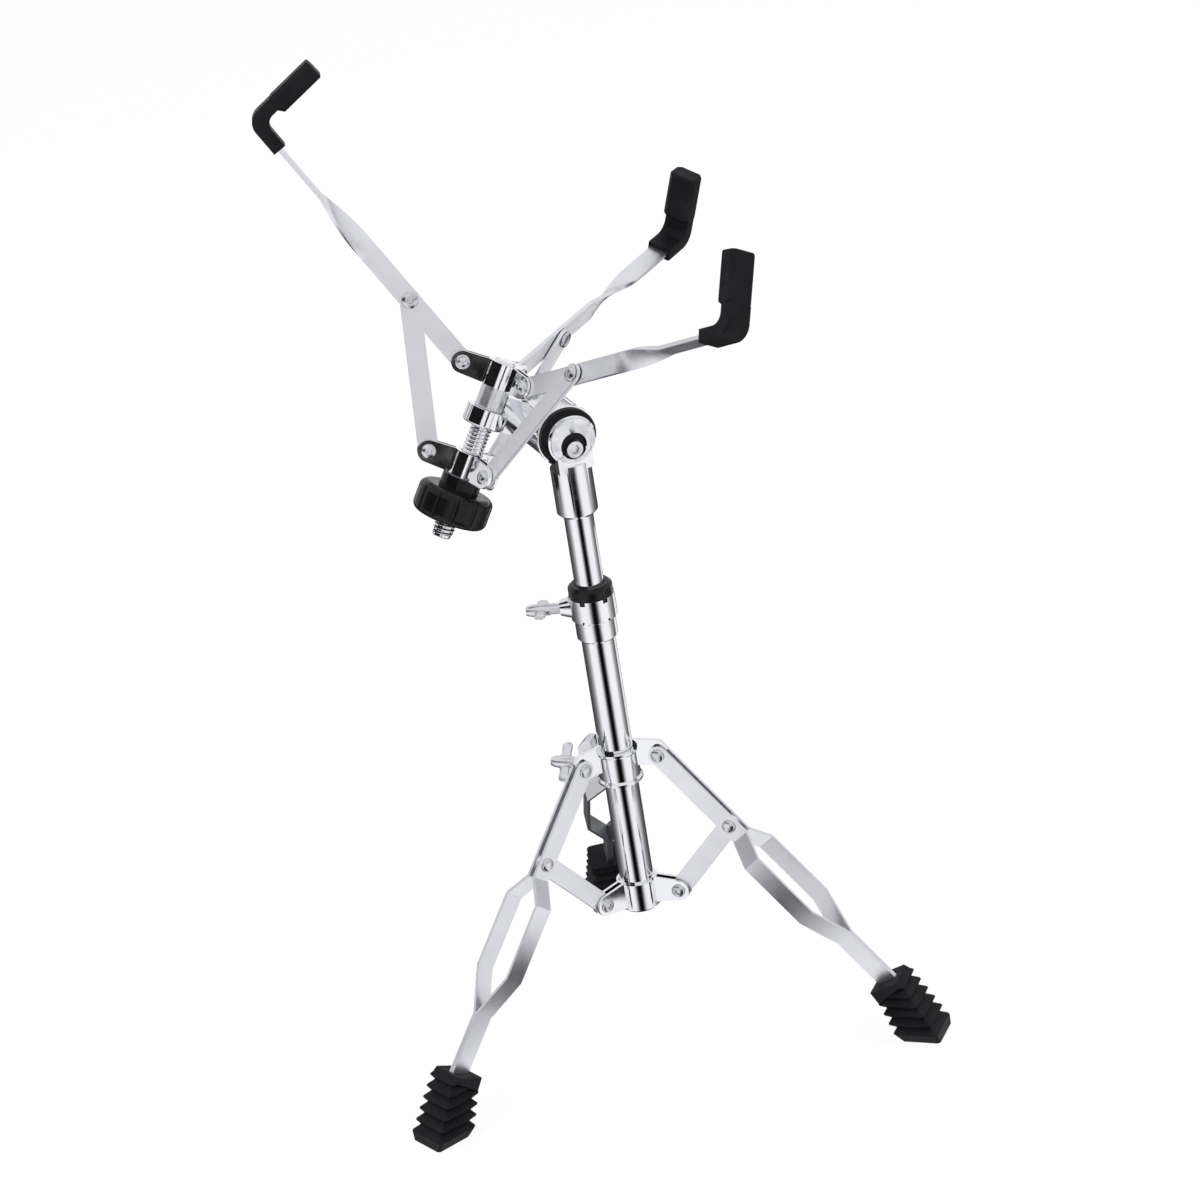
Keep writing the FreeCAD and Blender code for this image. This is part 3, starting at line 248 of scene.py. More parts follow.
CHROME = Finish(
    "chrome_plate", "chrome", light=(0.90, 0.905, 0.92), dark=(0.84, 0.845, 0.87),
    metallic=1.0, smooth=0.05, rough=0.1, cloud_scale=26.0,
    grain_scale=900.0, grain_strength=0.04, grain_depth=0.02 * MM)
STRIP = Finish(
    "plated_strip", "chrome", light=(0.86, 0.86, 0.90), dark=(0.80, 0.805, 0.85),
    metallic=1.0, smooth=0.29, rough=0.37, cloud_scale=24.0,
    grain_scale=1700.0, grain_strength=0.06, grain_depth=0.02 * MM,
    wave_scale=7.0, wave_depth=1.4 * MM)
CAST = Finish(
    "plated_casting", "chrome", light=(0.88, 0.885, 0.90), dark=(0.58, 0.585, 0.62),
    metallic=1.0, smooth=0.12, rough=0.24, cloud_scale=110.0,
    grain_scale=1300.0, grain_strength=0.2, grain_depth=0.04 * MM,
    wave_scale=120.0, wave_depth=0.7 * MM)
SATIN = Finish(
    "satin_chrome", "chrome", light=(0.82, 0.825, 0.85), dark=(0.72, 0.725, 0.76),
    metallic=1.0, smooth=0.24, rough=0.34, cloud_scale=80.0,
    grain_scale=2200.0, grain_strength=0.2, grain_depth=0.03 * MM)
ZINC = Finish(
    "zinc_steel", "steel", light=(0.76, 0.765, 0.79), dark=(0.58, 0.585, 0.62),
    metallic=1.0, smooth=0.14, rough=0.26, cloud_scale=90.0,
    grain_scale=2400.0, grain_strength=0.14, grain_depth=0.03 * MM)
RUBBER = Finish(
    "black_rubber", "rubber", light=(0.008, 0.008, 0.0095), dark=(0.004, 0.004, 0.005),
    metallic=0.0, smooth=0.4, rough=0.6, cloud_scale=60.0,
    grain_scale=2600.0, grain_strength=0.35, grain_depth=0.06 * MM, specular=0.12)
GLOSS_BLACK = Finish(
    "gloss_black_plastic", "black_plastic",
    light=(0.005, 0.005, 0.006), dark=(0.003, 0.003, 0.0035),
    metallic=0.0, smooth=0.16, rough=0.26, cloud_scale=45.0,
    grain_scale=700.0, grain_strength=0.12, grain_depth=0.05 * MM, specular=0.25)
NYLON = Finish(
    "black_nylon", "nylon", light=(0.008, 0.008, 0.009), dark=(0.004, 0.004, 0.005),
    metallic=0.0, smooth=0.28, rough=0.42, cloud_scale=70.0,
    grain_scale=1800.0, grain_strength=0.25, grain_depth=0.04 * MM, specular=0.16)


# Modelling steps


def clear_selection() -> None:
    """Leave edit mode and deselect everything."""
    if bpy.context.object and bpy.context.object.mode != "OBJECT":
        bpy.ops.object.mode_set(mode="OBJECT")
    bpy.ops.object.select_all(action="DESELECT")


def pick(piece: bpy.types.Object) -> None:
    """Make one object the only selected and active one.

    Args:
        piece: The object.
    """
    clear_selection()
    piece.select_set(True)
    bpy.context.view_layer.objects.active = piece


def choose_faces(piece: bpy.types.Object, test: Callable[[Vector, Vector], bool]) -> None:
    """Select faces in edit mode by a test.

    Args:
        piece: The object in edit mode.
        test: Takes a face's centre and normal and tells whether it is chosen.
    """
    bpy.ops.mesh.select_mode(type="FACE")
    bpy.ops.mesh.select_all(action="DESELECT")
    bpy.ops.object.mode_set(mode="OBJECT")
    for face in piece.data.polygons:
        face.select = test(face.center, face.normal)
    bpy.ops.object.mode_set(mode="EDIT")


def apply_modifier(piece: bpy.types.Object, kind: str, **settings: object) -> None:
    """Add a modifier to an object and apply it.

    Args:
        piece: The object.
        kind: The modifier's type.
        settings: The modifier's properties.
    """
    pick(piece)
    step = piece.modifiers.new(kind.lower(), kind)
    for key, value in settings.items():
        setattr(step, key, value)
    bpy.ops.object.modifier_apply(modifier=step.name)


def settle(piece: bpy.types.Object, place: Matrix) -> None:
    """Move an object to its place and put that place into its mesh.

    Args:
        piece: The object.
        place: Its place.
    """
    pick(piece)
    piece.matrix_world = place @ piece.matrix_world
    bpy.ops.object.transform_apply(location=True, rotation=True, scale=True)


def smooth(piece: bpy.types.Object, angle: float) -> None:
    """Shade an object smooth up to an angle in degrees."""
    pick(piece)
    bpy.ops.object.shade_smooth_by_angle(angle=math.radians(angle))


def drawn_line(name: str, points: Profile) -> bpy.types.Object:
    """Draw a line of radius and height by extruding one vertex.

    Args:
        name: The new object's name.
        points: Pairs of radius and height, in metres.

    Returns:
        The object, left in edit mode with everything selected.
    """
    clear_selection()
    bpy.ops.mesh.primitive_plane_add(size=1.0)
    piece = bpy.context.object
    piece.name = name
    piece.data.name = name
    bpy.ops.object.mode_set(mode="EDIT")
    bpy.ops.mesh.select_mode(type="VERT")
    bpy.ops.mesh.select_all(action="SELECT")
    bpy.ops.mesh.merge(type="CENTER")
    radius, height = points[0]
    bpy.ops.transform.translate(value=(radius, 0.0, height))
    for next_radius, next_height in points[1:]:
        step = (next_radius - radius, 0.0, next_height - height)
        bpy.ops.mesh.extrude_vertices_move(TRANSFORM_OT_translate={"value": step})
        radius, height = next_radius, next_height
    bpy.ops.mesh.select_all(action="SELECT")
    return piece


def close_up(piece: bpy.types.Object) -> None:
    """Merge doubled vertices and turn all faces outwards.

    Args:
        piece: The object.
    """
    pick(piece)
    bpy.ops.object.mode_set(mode="EDIT")
    bpy.ops.mesh.select_mode(type="VERT")
    bpy.ops.mesh.select_all(action="SELECT")
    bpy.ops.mesh.remove_doubles(threshold=WELD)
    bpy.ops.mesh.normals_make_consistent(inside=False)
    bpy.ops.object.mode_set(mode="OBJECT")


def merge_flats(piece: bpy.types.Object) -> None:
    """Merge the faces that lie in one plane.

    Args:
        piece: The object.
    """
    pick(piece)
    bpy.ops.object.mode_set(mode="EDIT")
    bpy.ops.mesh.select_all(action="SELECT")
    bpy.ops.mesh.dissolve_limited(angle_limit=math.radians(FLAT_ANGLE))
    bpy.ops.object.mode_set(mode="OBJECT")


def turned(name: str, points: Profile, steps: int, sweep: float = math.tau) -> bpy.types.Object:
    """Turn a line of radius and height round Z.

    Args:
        name: The new object's name.
        points: Pairs of radius and height, in metres.
        steps: Number of steps round the axis.
        sweep: Angle that it turns through.

    Returns:
        The turned object.
    """
    piece = drawn_line(name, points)
    bpy.ops.mesh.spin(steps=steps, angle=sweep, center=ORIGIN, axis=UP)
    bpy.ops.object.mode_set(mode="OBJECT")
    close_up(piece)
    return piece


def copied(piece: bpy.types.Object, name: str) -> bpy.types.Object:
    """Copy an object with its own mesh.

    Args:
        piece: The object to copy.
        name: The copy's name.

    Returns:
        The copy.
    """
    pick(piece)
    bpy.ops.object.duplicate(linked=False)
    made = bpy.context.object
    made.name = name
    made.data.name = name
    return made


def joined(pieces: Sequence[bpy.types.Object], name: str) -> bpy.types.Object:
    """Join objects into one.

    Args:
        pieces: The objects.
        name: Name of the result.

    Returns:
        The joined object.
    """
    pick(pieces[0])
    for piece in pieces[1:]:
        piece.select_set(True)
    if len(pieces) > 1:
        bpy.ops.object.join()
    made = bpy.context.object
    made.name = name
    made.data.name = name
    return made


def dispose(piece: bpy.types.Object) -> None:
    """Delete an object."""
    pick(piece)
    bpy.ops.object.delete()


def cut_bore(piece: bpy.types.Object, radius: float, length: float, sides: int) -> None:
    """Cut a round bore along Z through a piece.

    Args:
        piece: The piece to cut.
        radius: Radius of the bore.
        length: Length that it passes through.
        sides: Number of its sides.
    """
    low, high = -length, 2 * length
    tool = turned("bore", [(0.0, low), (radius, low), (radius, high), (0.0, high)], sides)
    apply_modifier(piece, "BOOLEAN", operation="DIFFERENCE", object=tool, solver="EXACT")
    dispose(tool)


def dress(piece: bpy.types.Object, finish: Finish) -> None:
    """Give an object one finish."""
    piece.data.materials.clear()
    piece.data.materials.append(finish.material())


def mount(piece: bpy.types.Object, body: str, finish: Finish, *nodes: str) -> None:
    """Finish a piece, tie it to its body and let it stand for nodes.

    Args:
        piece: The piece, in its place.
        body: The body that it moves with.
        finish: Its finish.
        nodes: The nodes that it replaces.
    """
    dress(piece, finish)
    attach(piece, body)
    if nodes:
        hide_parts(*nodes)
    LOG.info("%s rides on %s", piece.name, body)


# Places taken from the moving joints


def joint_point(name: str) -> Vector:
    """Give a hinge's point."""
    return Vector(JOINTS[name]["pos_m"])


def joint_axis(name: str) -> Vector:
    """Give a joint's axis."""
    return Vector(JOINTS[name]["axis"]).normalized()


def node_middle(node: str) -> Vector:
    """Give the middle of a node's box."""
    low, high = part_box(node)
    return (low + high) / 2


def standing(origin: Vector, axis: Vector, side: Vector = UP) -> Matrix:
    """Make a place whose Z runs along an axis.

    Args:
        origin: Its origin.
        axis: Direction of its Z.
        side: Direction that its X comes nearest to.

    Returns:
        The place as a matrix.
    """
    up = axis.normalized()
    across = side - up * side.dot(up)
    if across.length < NO_LENGTH:
        across = ALONG_X - up * up.x
    across.normalize()
    turn = Matrix((across, up.cross(across), up)).transposed()
    return Matrix.Translation(origin) @ turn.to_4x4()


# Pieces


@dataclass
class EasedNodes:
    """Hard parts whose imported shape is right: copies with eased edges stand for them."""

    finish: Finish
    body: str
    nodes: Sequence[str]
    edge: float = 0.35 * MM
    crease: float = 32.0
    bevel_steps: int = 2
    flat_weight: int = 90

    def ease(self, piece: bpy.types.Object) -> None:
        """Merge a piece's flat faces and bevel its edges.

        Args:
            piece: The piece.
        """
        merge_flats(piece)
        apply_modifier(piece, "BEVEL", width=self.edge, segments=self.bevel_steps,
                       limit_method="ANGLE", angle_limit=math.radians(self.crease),
                       use_clamp_overlap=True)

    def build(self) -> None:
        """Copy each node, ease its edges unless they stay sharp, and finish it."""
        for node in self.nodes:
            piece = copied(frame["nodes"][node], node + "_eased")
            piece.parent = None
            piece.matrix_world = Matrix.Identity(4)
            for key in [key for key in piece.keys() if key.startswith("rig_")]:
                del piece[key]
            pick(piece)
            bpy.ops.mesh.customdata_custom_splitnormals_clear()
            close_up(piece)
            if self.edge:
                self.ease(piece)
            smooth(piece, self.crease)
            if self.edge:
                apply_modifier(piece, "WEIGHTED_NORMAL", mode="FACE_AREA",
                               weight=self.flat_weight, keep_sharp=True)
            mount(piece, self.body, self.finish, node)


@dataclass
class Rivets:
    """Rivets with a head of one shape at each end."""

    shape: RivetHead = RivetHead.DOME
    grip: float = 7.2 * MM
    stem: float = 2.5 * MM
    head: float = 4.6 * MM
    rise: float = 2.2 * MM
    rim: float = 0.5 * MM
    hole: float = 1.9 * MM
    hole_depth: float = 1.5 * MM
    lip: float = 0.9 * MM
    dome_steps: int = 7
    sides: int = 32
    crease: float = 40.0

    def disc(self, top: float) -> list[tuple[float, float]]:
        """Draw a flat head's line, with a lip round its sunk face.

        Args:
            top: Height of the head's top.

        Returns:
            Pairs of radius and height.
        """
        edge = self.head - self.lip
        half = self.rim / 2
        return [(self.head - half, top - self.rim), (edge + half, top - half),
                (edge, top - self.rim), (edge - self.rim, top - self.lip),
                (self.stem, top - self.rim), (self.hole / 2, top - half), (0.0, top - half)]

    def crown(self, foot: float) -> list[tuple[float, float]]:
        """Draw a head's line from its rim to its middle.

        Args:
            foot: Height that the head stands on.

        Returns:
            Pairs of radius and height.
        """
        base = foot + self.rim
        top = foot + self.rise
        if self.shape is RivetHead.DISC:
            return self.disc(top)
        line = []
        for step in range(1, self.dome_steps + 1):
            turn = math.pi / 2 * step / self.dome_steps
            height = base + (self.rise - self.rim) * math.sin(turn)
            line.append((self.head * math.cos(turn), height))
        line[-1] = (0.0, top)
        if self.shape is RivetHead.HOLLOW:
            line = [point for point in line if point[0] > self.hole + self.rim]
            brim = line[-1][1]
            floor = top - self.hole_depth
            line += [(self.hole + self.rim / 3, brim + self.rim / 3), (self.hole, brim),
                     (self.hole - self.rim / 3, floor), (0.0, floor - self.rim / 2)]
        return line

    def model(self) -> bpy.types.Object:
        """Turn one rivet, with its heads at both ends of its grip.

        Returns:
            The rivet, standing on Z with its middle at the origin.
        """
        foot = self.grip / 2
        upper = [(self.stem, foot), (self.head, foot), (self.head, foot + self.rim),
                 *self.crown(foot)]
        lower = [(radius, -height) for radius, height in reversed(upper)]
        piece = turned("rivet", lower + upper, self.sides)
        smooth(piece, self.crease)
        return piece

    def place(self, name: str, body: str, node: str,
              spots: Iterable[tuple[Vector, Vector]]) -> None:
        """Set rivets into their holes.

        Args:
            name: Name of the piece that they make together.
            body: Body that they move with.
            node: Node that they stand for.
            spots: Middle point and axis of each rivet.
        """
        master = self.model()
        pieces = []
        for number, (point, axis) in enumerate(spots):
            piece = copied(master, f"{name}_{number}")
            settle(piece, standing(point, axis))
            pieces.append(piece)
        dispose(master)
        mount(joined(pieces, name), body, ZINC, node)


@dataclass
class BasketRod:
    """The basket's rod: a plain shank and a rolled thread below the eye."""

    radius: float = 7.0 * MM
    above: float = 9.5 * MM
    below: float = 111.0 * MM
    thread_from: float = 30.0 * MM
    pitch: float = 2.5 * MM
    depth: float = 0.95 * MM
    chamfer: float = 1.4 * MM
    sink: float = 0.1 * MM
    root_share: float = 0.08
    crest_share: float = 0.44
    sides: int = 48
    thread_steps: int = 32
    crease: float = 35.0

    def shank(self, root: float) -> bpy.types.Object:
        """Turn the shank.

        Args:
            root: Radius at the thread's root.

        Returns:
            The shank, standing on Z.
        """
        half = self.chamfer / 2
        return turned("rod_shank", [
            (0.0, -self.below), (root - half, -self.below), (root, half - self.below),
            (root, -self.thread_from), (self.radius, self.depth - self.thread_from),
            (self.radius, self.above - self.chamfer),
            (self.radius - self.chamfer, self.above), (0.0, self.above)], self.sides)

    def thread(self, root: float) -> bpy.types.Object:
        """Wind the thread from one tooth.

        Args:
            root: Radius at the thread's root.

        Returns:
            The thread, standing on Z.
        """
        low = self.chamfer - self.below
        high = low + self.pitch
        to_root = self.root_share * self.pitch
        to_crest = self.crest_share * self.pitch
        tooth = drawn_line("rod_thread", [
            (root - self.sink, low), (root, low + to_root), (self.radius, low + to_crest),
            (self.radius, high - to_crest), (root, high - to_root), (root - self.sink, high)])
        bpy.ops.object.mode_set(mode="OBJECT")
        turns = int((self.below - self.chamfer - self.thread_from) / self.pitch)
        apply_modifier(tooth, "SCREW", axis="Z", angle=math.tau, screw_offset=self.pitch,
                       iterations=turns, steps=self.thread_steps,
                       render_steps=self.thread_steps, use_merge_vertices=True,
                       merge_threshold=WELD)
        close_up(tooth)
        return tooth

    def build(self) -> None:
        """Make the shank and the thread, join them and set the rod in its place."""
        points = [joint_point(f"arm_{name}_open") for name in ARMS]
        place = standing(sum(points, Vector()) / len(points), joint_axis("bracket_slide"))
        root = self.radius - self.depth
        rod = joined([self.shank(root), self.thread(root)], "basket_rod_threaded")
        smooth(rod, self.crease)
        settle(rod, place)
        mount(rod, "rod_holder", CHROME, "basket_rod")


@dataclass
class WingScrew:
    """A cast wing head on a screw or nut, modelled from a block by drawing its wings out."""

    joint: str
    node: str
    body: str
    spread: Vector
    tip: float = 0.0
    seat: float = 0.0
    neck: float = 6.0 * MM
    neck_radius: float = 3.5 * MM
    hub_radius: float = 4.0 * MM
    hub_length: float = 16.0 * MM
    hub_edge: float = 1.2 * MM
    nose: float = 4.0 * MM
    span: float = 13.8 * MM
    tip_radius: float = 3.8 * MM
    lean: float = -2.0 * MM
    thickness: float = 3.2 * MM
    stem: float = 3.0 * MM
    bore: float = 0.0
    waist_share: float = 0.78
    grow_share: float = 1.14
    facing: float = 0.9
    levels: int = 3
    sides: int = 36
    crease: float = 38.0

    def draw_out(self, step: Triple, thicker: float, taller: float) -> None:
        """Extrude the chosen face and size its new end.

        Args:
            step: How far the new end moves.
            thicker: Factor on its thickness.
            taller: Factor on its height.
        """
        bpy.ops.mesh.extrude_region_move(TRANSFORM_OT_translate={"value": step})
        bpy.ops.transform.resize(value=(1.0, thicker, taller))

    def wing_block(self, low: float, high: float) -> bpy.types.Object:
        """Draw both wings out of a block and round them.

        Args:
            low: Height of the wings' lower edge at the hub.
            high: Height of their upper edge there.

        Returns:
            The wings, spread along X.
        """
        clear_selection()
        bpy.ops.mesh.primitive_cube_add(size=1.0, location=ORIGIN)
        piece = bpy.context.object
        bpy.ops.object.mode_set(mode="EDIT")
        bpy.ops.mesh.select_all(action="SELECT")
        size = (self.hub_radius, self.thickness * self.grow_share, high - low)
        bpy.ops.transform.resize(value=size)
        bpy.ops.transform.translate(value=(0.0, 0.0, (low + high) / 2))
        middle = high + self.lean - self.tip_radius
        rise = middle - (low + high) / 2
        reach = self.span - self.tip_radius - self.hub_radius / 2
        shrink = 2 * self.tip_radius / (high - low)
        waist = self.waist_share
        for sign in (-1.0, 1.0):
            choose_faces(piece, lambda spot, normal, sign=sign: normal.x * sign > self.facing
                         and spot.x * sign > self.hub_radius / 3)
            half_way = (sign * reach / 2, 0.0, rise / 2)
            self.draw_out(half_way, waist, shrink * waist)
            self.draw_out(half_way, 1.0, self.grow_share / waist)
            self.draw_out((sign * self.tip_radius, 0.0, 0.0), waist, waist)
        bpy.ops.object.mode_set(mode="OBJECT")
        apply_modifier(piece, "SUBSURF", levels=self.levels, render_levels=self.levels)
        return piece

    def build(self) -> None:
        """Model the screw and set it on its axis."""
        head = self.seat + self.neck
        end = head + self.hub_length
        half = self.hub_edge / 2
        profile = [(self.bore, head)]
        if self.stem:
            profile = [(0.0, self.tip), (self.stem - half, self.tip),
                       (self.stem, self.tip + half), (self.stem, self.seat),
                       (self.neck_radius, self.seat), (self.neck_radius, head)]
        profile += [(self.hub_radius - half, head), (self.hub_radius, head + self.hub_edge),
                    (self.hub_radius, end - self.nose),
                    (self.hub_radius - half, end - self.nose / 3),
                    (self.hub_radius - self.hub_edge, end), (self.bore, end)]
        if self.bore:
            profile.append((self.bore, head))
        hub = turned("wing_hub", profile, self.sides)
        blade = self.wing_block(head + self.hub_edge, end - self.nose)
        if self.bore:
            cut_bore(blade, self.bore, end, self.sides)
        piece = joined([hub, blade], self.node + "_cast")
        smooth(piece, self.crease)
        settle(piece, standing(joint_point(self.joint), joint_axis(self.joint), self.spread))
        mount(piece, self.body, SATIN, self.node)


@dataclass
class WingNut(WingScrew):
    """A wing nut: a short wide hub with a bore and no stem, and wings that stand proud of it."""

    neck: float = 0.08 * MM
    hub_radius: float = 6.6 * MM
    hub_length: float = 7.92 * MM
    nose: float = 0.0
    span: float = 13.0 * MM
    tip_radius: float = 3.6 * MM
    lean: float = 3.0 * MM
    stem: float = 0.0
    bore: float = 4.08 * MM


@dataclass
class FaceShadeRing:
    """A black ring in the recess of the tilter's face, as painted shade: it shows as a dark
    crescent round the screw.
    """

    front: float = 12.3 * MM
    recess_depth: float = 3.0 * MM
    recess_drop: float = 3.4 * MM
    radius: float = 8.7 * MM
    screw_drop: float = 5.7 * MM
    screw_radius: float = 5.75 * MM
    thickness: float = 0.9 * MM
    edge: float = 0.2 * MM
    lift: float = 0.05 * MM
    sides: int = 48
    crease: float = 35.0

    def build(self) -> None:
        """Turn the ring of painted shade, cut the screw's way and lay it in the recess."""
        piece = turned("face_gasket", [
            (0.0, 0.0), (self.radius, 0.0), (self.radius, self.thickness - self.edge),
            (self.radius - self.edge, self.thickness), (0.0, self.thickness)], self.sides)
        settle(piece, Matrix.Translation(ALONG_X * (self.screw_drop - self.recess_drop)))
        cut_bore(piece, self.screw_radius, self.thickness, self.sides)
        settle(piece, Matrix.Translation(ALONG_X * -self.screw_drop))
        smooth(piece, self.crease)
        out = -joint_axis("basket_tilt")
        rise = self.front - self.recess_depth + self.lift
        settle(piece, standing(joint_point("basket_tilt") + out * rise, out))
        # Black nylon here paints the shadow of the recess round the screw.
        mount(piece, "post", NYLON)


# Sub-assemblies


@dataclass
class Column:
    """The column: both tubes, the bottom bracket, and the height clamp with its wing bolt."""

    bolt_tip: float = -8.7 * MM
    bolt_seat: float = 0.3 * MM

    def build(self) -> None:
        """Dress the column and model its wing bolt, with the wings level."""
        EasedNodes(CHROME, "base", ("lower_tube", "height_clamp", "bottom_bracket")).build()
        EasedNodes(GLOSS_BLACK, "base", ("height_bush",)).build()
        EasedNodes(CHROME, "post", ("upper_tube",)).build()
        level = joint_axis("height_screw_turn").cross(UP)
        WingScrew("height_screw_turn", "height_wing_bolt", "height_screw", level,
                  self.bolt_tip, self.bolt_seat).build()


@dataclass
class Leg:
    """One leg of the tripod, with its strut, foot and rivets."""

    name: str
    foot_edge: float = 0.7 * MM
    rivets: Rivets = field(default_factory=Rivets)

    def build(self) -> None:
        """Dress the leg and set its rivets, one at the strut and one at the collar's ear."""
        name = self.name
        EasedNodes(STRIP, f"leg_strut_{name}", (f"leg_{name}_strut",)).build()
        EasedNodes(STRIP, f"leg_{name}", (f"leg_{name}_strip_a", f"leg_{name}_strip_b")).build()
        EasedNodes(RUBBER, f"leg_{name}", (f"leg_{name}_foot",), self.foot_edge).build()
        knee = joint_point(f"leg_{name}_swing")
        low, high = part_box(f"leg_{name}_rivets")
        axis = joint_axis(f"leg_{name}_swing")
        self.rivets.place(f"leg_{name}_rivet_set", f"leg_{name}", f"leg_{name}_rivets",
                          [(knee, axis), (low + high - knee, axis)])


@dataclass
class Tripod:
    """The tripod: its collar, wing bolt, bottom rivets and legs."""

    bolt_turn: float = 43.0
    bolt_tip: float = -8.6 * MM
    bolt_seat: float = 4.8 * MM
    rivets: Rivets = field(default_factory=lambda: Rivets(RivetHead.HOLLOW))

    def build(self) -> None:
        """Dress the collar, model its wing bolt, set the bottom rivets and build the legs."""
        EasedNodes(CHROME, "collar", ("tripod_collar",)).build()
        EasedNodes(ZINC, "collar", ("tripod_collar_nut",)).build()
        axis = joint_axis("collar_screw_turn")
        leaning = Matrix.Rotation(math.radians(self.bolt_turn), 3, axis) @ UP
        WingScrew("collar_screw_turn", "tripod_wing_bolt", "collar_screw", leaning,
                  self.bolt_tip, self.bolt_seat).build()
        folds = [f"leg_{name}_fold" for name in LEGS]
        spots = [(joint_point(fold), joint_axis(fold)) for fold in folds]
        self.rivets.place("bottom_rivet_set", "base", "bottom_rivets", spots)
        for name in LEGS:
            Leg(name).build()


@dataclass
class Tilter:
    """The tilter: its fixed half, its turning half, and the wing nut behind them."""

    holder_edge: float = 0.5 * MM

    def build(self) -> None:
        """Dress both halves, lay the black ring of painted shade and model the wing nut, with
        the wings upright.
        """
        EasedNodes(CHROME, "post", ("tilter_socket",)).build()
        EasedNodes(CAST, "post", ("tilter_face_plate",)).build()
        EasedNodes(ZINC, "post", ("tilter_face_screw",)).build()
        # A black ring laid in the face's recess as painted shade round the screw.
        FaceShadeRing().build()
        EasedNodes(NYLON, "post", ("tilter_washer",)).build()
        EasedNodes(CHROME, "rod_holder", ("rod_holder", "basket_hub"), self.holder_edge).build()
        EasedNodes(SATIN, "rod_holder", ("rod_sleeve",), self.holder_edge).build()
        WingNut("tilt_nut_turn", "tilter_wing_nut", "tilt_nut", UP).build()


@dataclass
class Basket:
    """The basket: its rod, lower bracket, knob and three arms with their struts."""

    bracket_edge: float = 0.5 * MM
    knob_edge: float = 1.0 * MM
    bar_edge: float = 0.0
    tip_edge: float = 0.6 * MM
    bar_offset: float = 1.6 * MM
    hub_rivets: Rivets = field(default_factory=lambda: Rivets(RivetHead.DISC))
    bracket_rivets: Rivets = field(default_factory=lambda: Rivets(RivetHead.HOLLOW))
    arm_rivet: Rivets = field(default_factory=lambda: Rivets(
        RivetHead.HOLLOW, grip=6.1 * MM, stem=2.0 * MM, head=5.4 * MM))

    def arm(self, name: str, axis: Vector) -> None:
        """Dress one arm with its tip, strut and rivet.

        Args:
            name: The arm's name.
            axis: Direction of its rivet.
        """
        EasedNodes(STRIP, f"arm_{name}", (f"arm_{name}_bar",), self.bar_edge).build()
        EasedNodes(RUBBER, f"arm_{name}", (f"arm_{name}_tip",), self.tip_edge).build()
        EasedNodes(STRIP, f"arm_strut_{name}", (f"arm_{name}_strut",)).build()
        self.arm_rivet.place(f"arm_{name}_rivet_set", f"arm_{name}", f"arm_{name}_rivet",
                             [(node_middle(f"arm_{name}_rivet"), axis)])

    def build(self) -> None:
        """Build the rod, dress the bracket, knob and arms, and set the rivets."""
        BasketRod().build()
        EasedNodes(CHROME, "bracket", ("lower_bracket",), self.bracket_edge).build()
        EasedNodes(GLOSS_BLACK, "knob", ("basket_knob",), self.knob_edge).build()
        hub = []
        bracket = []
        for name in ARMS:
            axis = joint_axis(f"arm_{name}_open")
            offset = axis * self.bar_offset
            hub.append((joint_point(f"arm_{name}_open") + offset, axis))
            bracket.append((joint_point(f"arm_{name}_strut_swing") - offset, axis))
            self.arm(name, axis)
        self.hub_rivets.place("hub_rivet_set", "rod_holder", "hub_rivets", hub)
        self.bracket_rivets.place("bracket_rivet_set", "bracket", "bracket_rivets", bracket)


@dataclass
class InnerParts:
    """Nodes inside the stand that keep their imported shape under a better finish."""

    finishes: ClassVar[dict[str, Finish]] = {
        "tube_end_plug": NYLON, "guide_plug": NYLON,
        "height_clamp_insert": ZINC, "tilter_stud": ZINC}

    def build(self) -> None:
        """Finish each node."""
        for node, finish in self.finishes.items():
            dress(frame["nodes"][node], finish)
            LOG.info("%s keeps its packed shape", node)


# Studio


def show_in_reflections(item: bpy.types.Object) -> None:
    """Mark a thing of the studio that only reflections show.

    Args:
        item: The thing.
    """
    item.visible_camera = False
    item.visible_diffuse = False
    item.visible_shadow = False
    item.visible_transmission = False


def plain_glow(item: bpy.types.Object, tone: float) -> None:
    """Give a thing of the studio one grey tone and show it in reflections only.

    Args:
        item: The thing.
        tone: Its tone.
    """
    desk = NodeDesk(item.name)
    glow = desk.add("Emission", Color=(tone, tone, tone, 1.0), Strength=1.0)
    desk.join(glow.outputs[0], desk.output.inputs["Surface"])
    item.data.materials.append(desk.material)
    show_in_reflections(item)


def fill_ramp(ramp: bpy.types.Node, stops: Profile, blue: float = 1.02) -> None:
    """Set the stops of a grey colour ramp.

    Args:
        ramp: The ramp's node, with only the stops that it is made with.
        stops: Pairs of place and tone.
        blue: Factor by which the tone is bluer than grey.
    """
    parts = ramp.color_ramp.elements
    ready = len(parts)
    for index, (place, tone) in enumerate(stops):
        stop = parts[index] if index < ready else parts.new(place)
        stop.position = place
        stop.color = (tone, tone, tone * blue, 1.0)


def swept(name: str, line: Profile, start: float, end: float, steps: int) -> bpy.types.Object:
    """Sweep a line round the stand between two azimuths.

    Args:
        name: The new object's name.
        line: Pairs of radius and height, in metres.
        start: First azimuth in degrees, from the camera's side towards the camera's right.
        end: Last azimuth.
        steps: Number of steps between them.

    Returns:
        The swept object.
    """
    sweep = math.radians(end - start)
    item = turned(name, line, steps, sweep)
    settle(item, Matrix.Rotation(math.radians(start - QUARTER_TURN) + sweep, 4, "Z"))
    return item


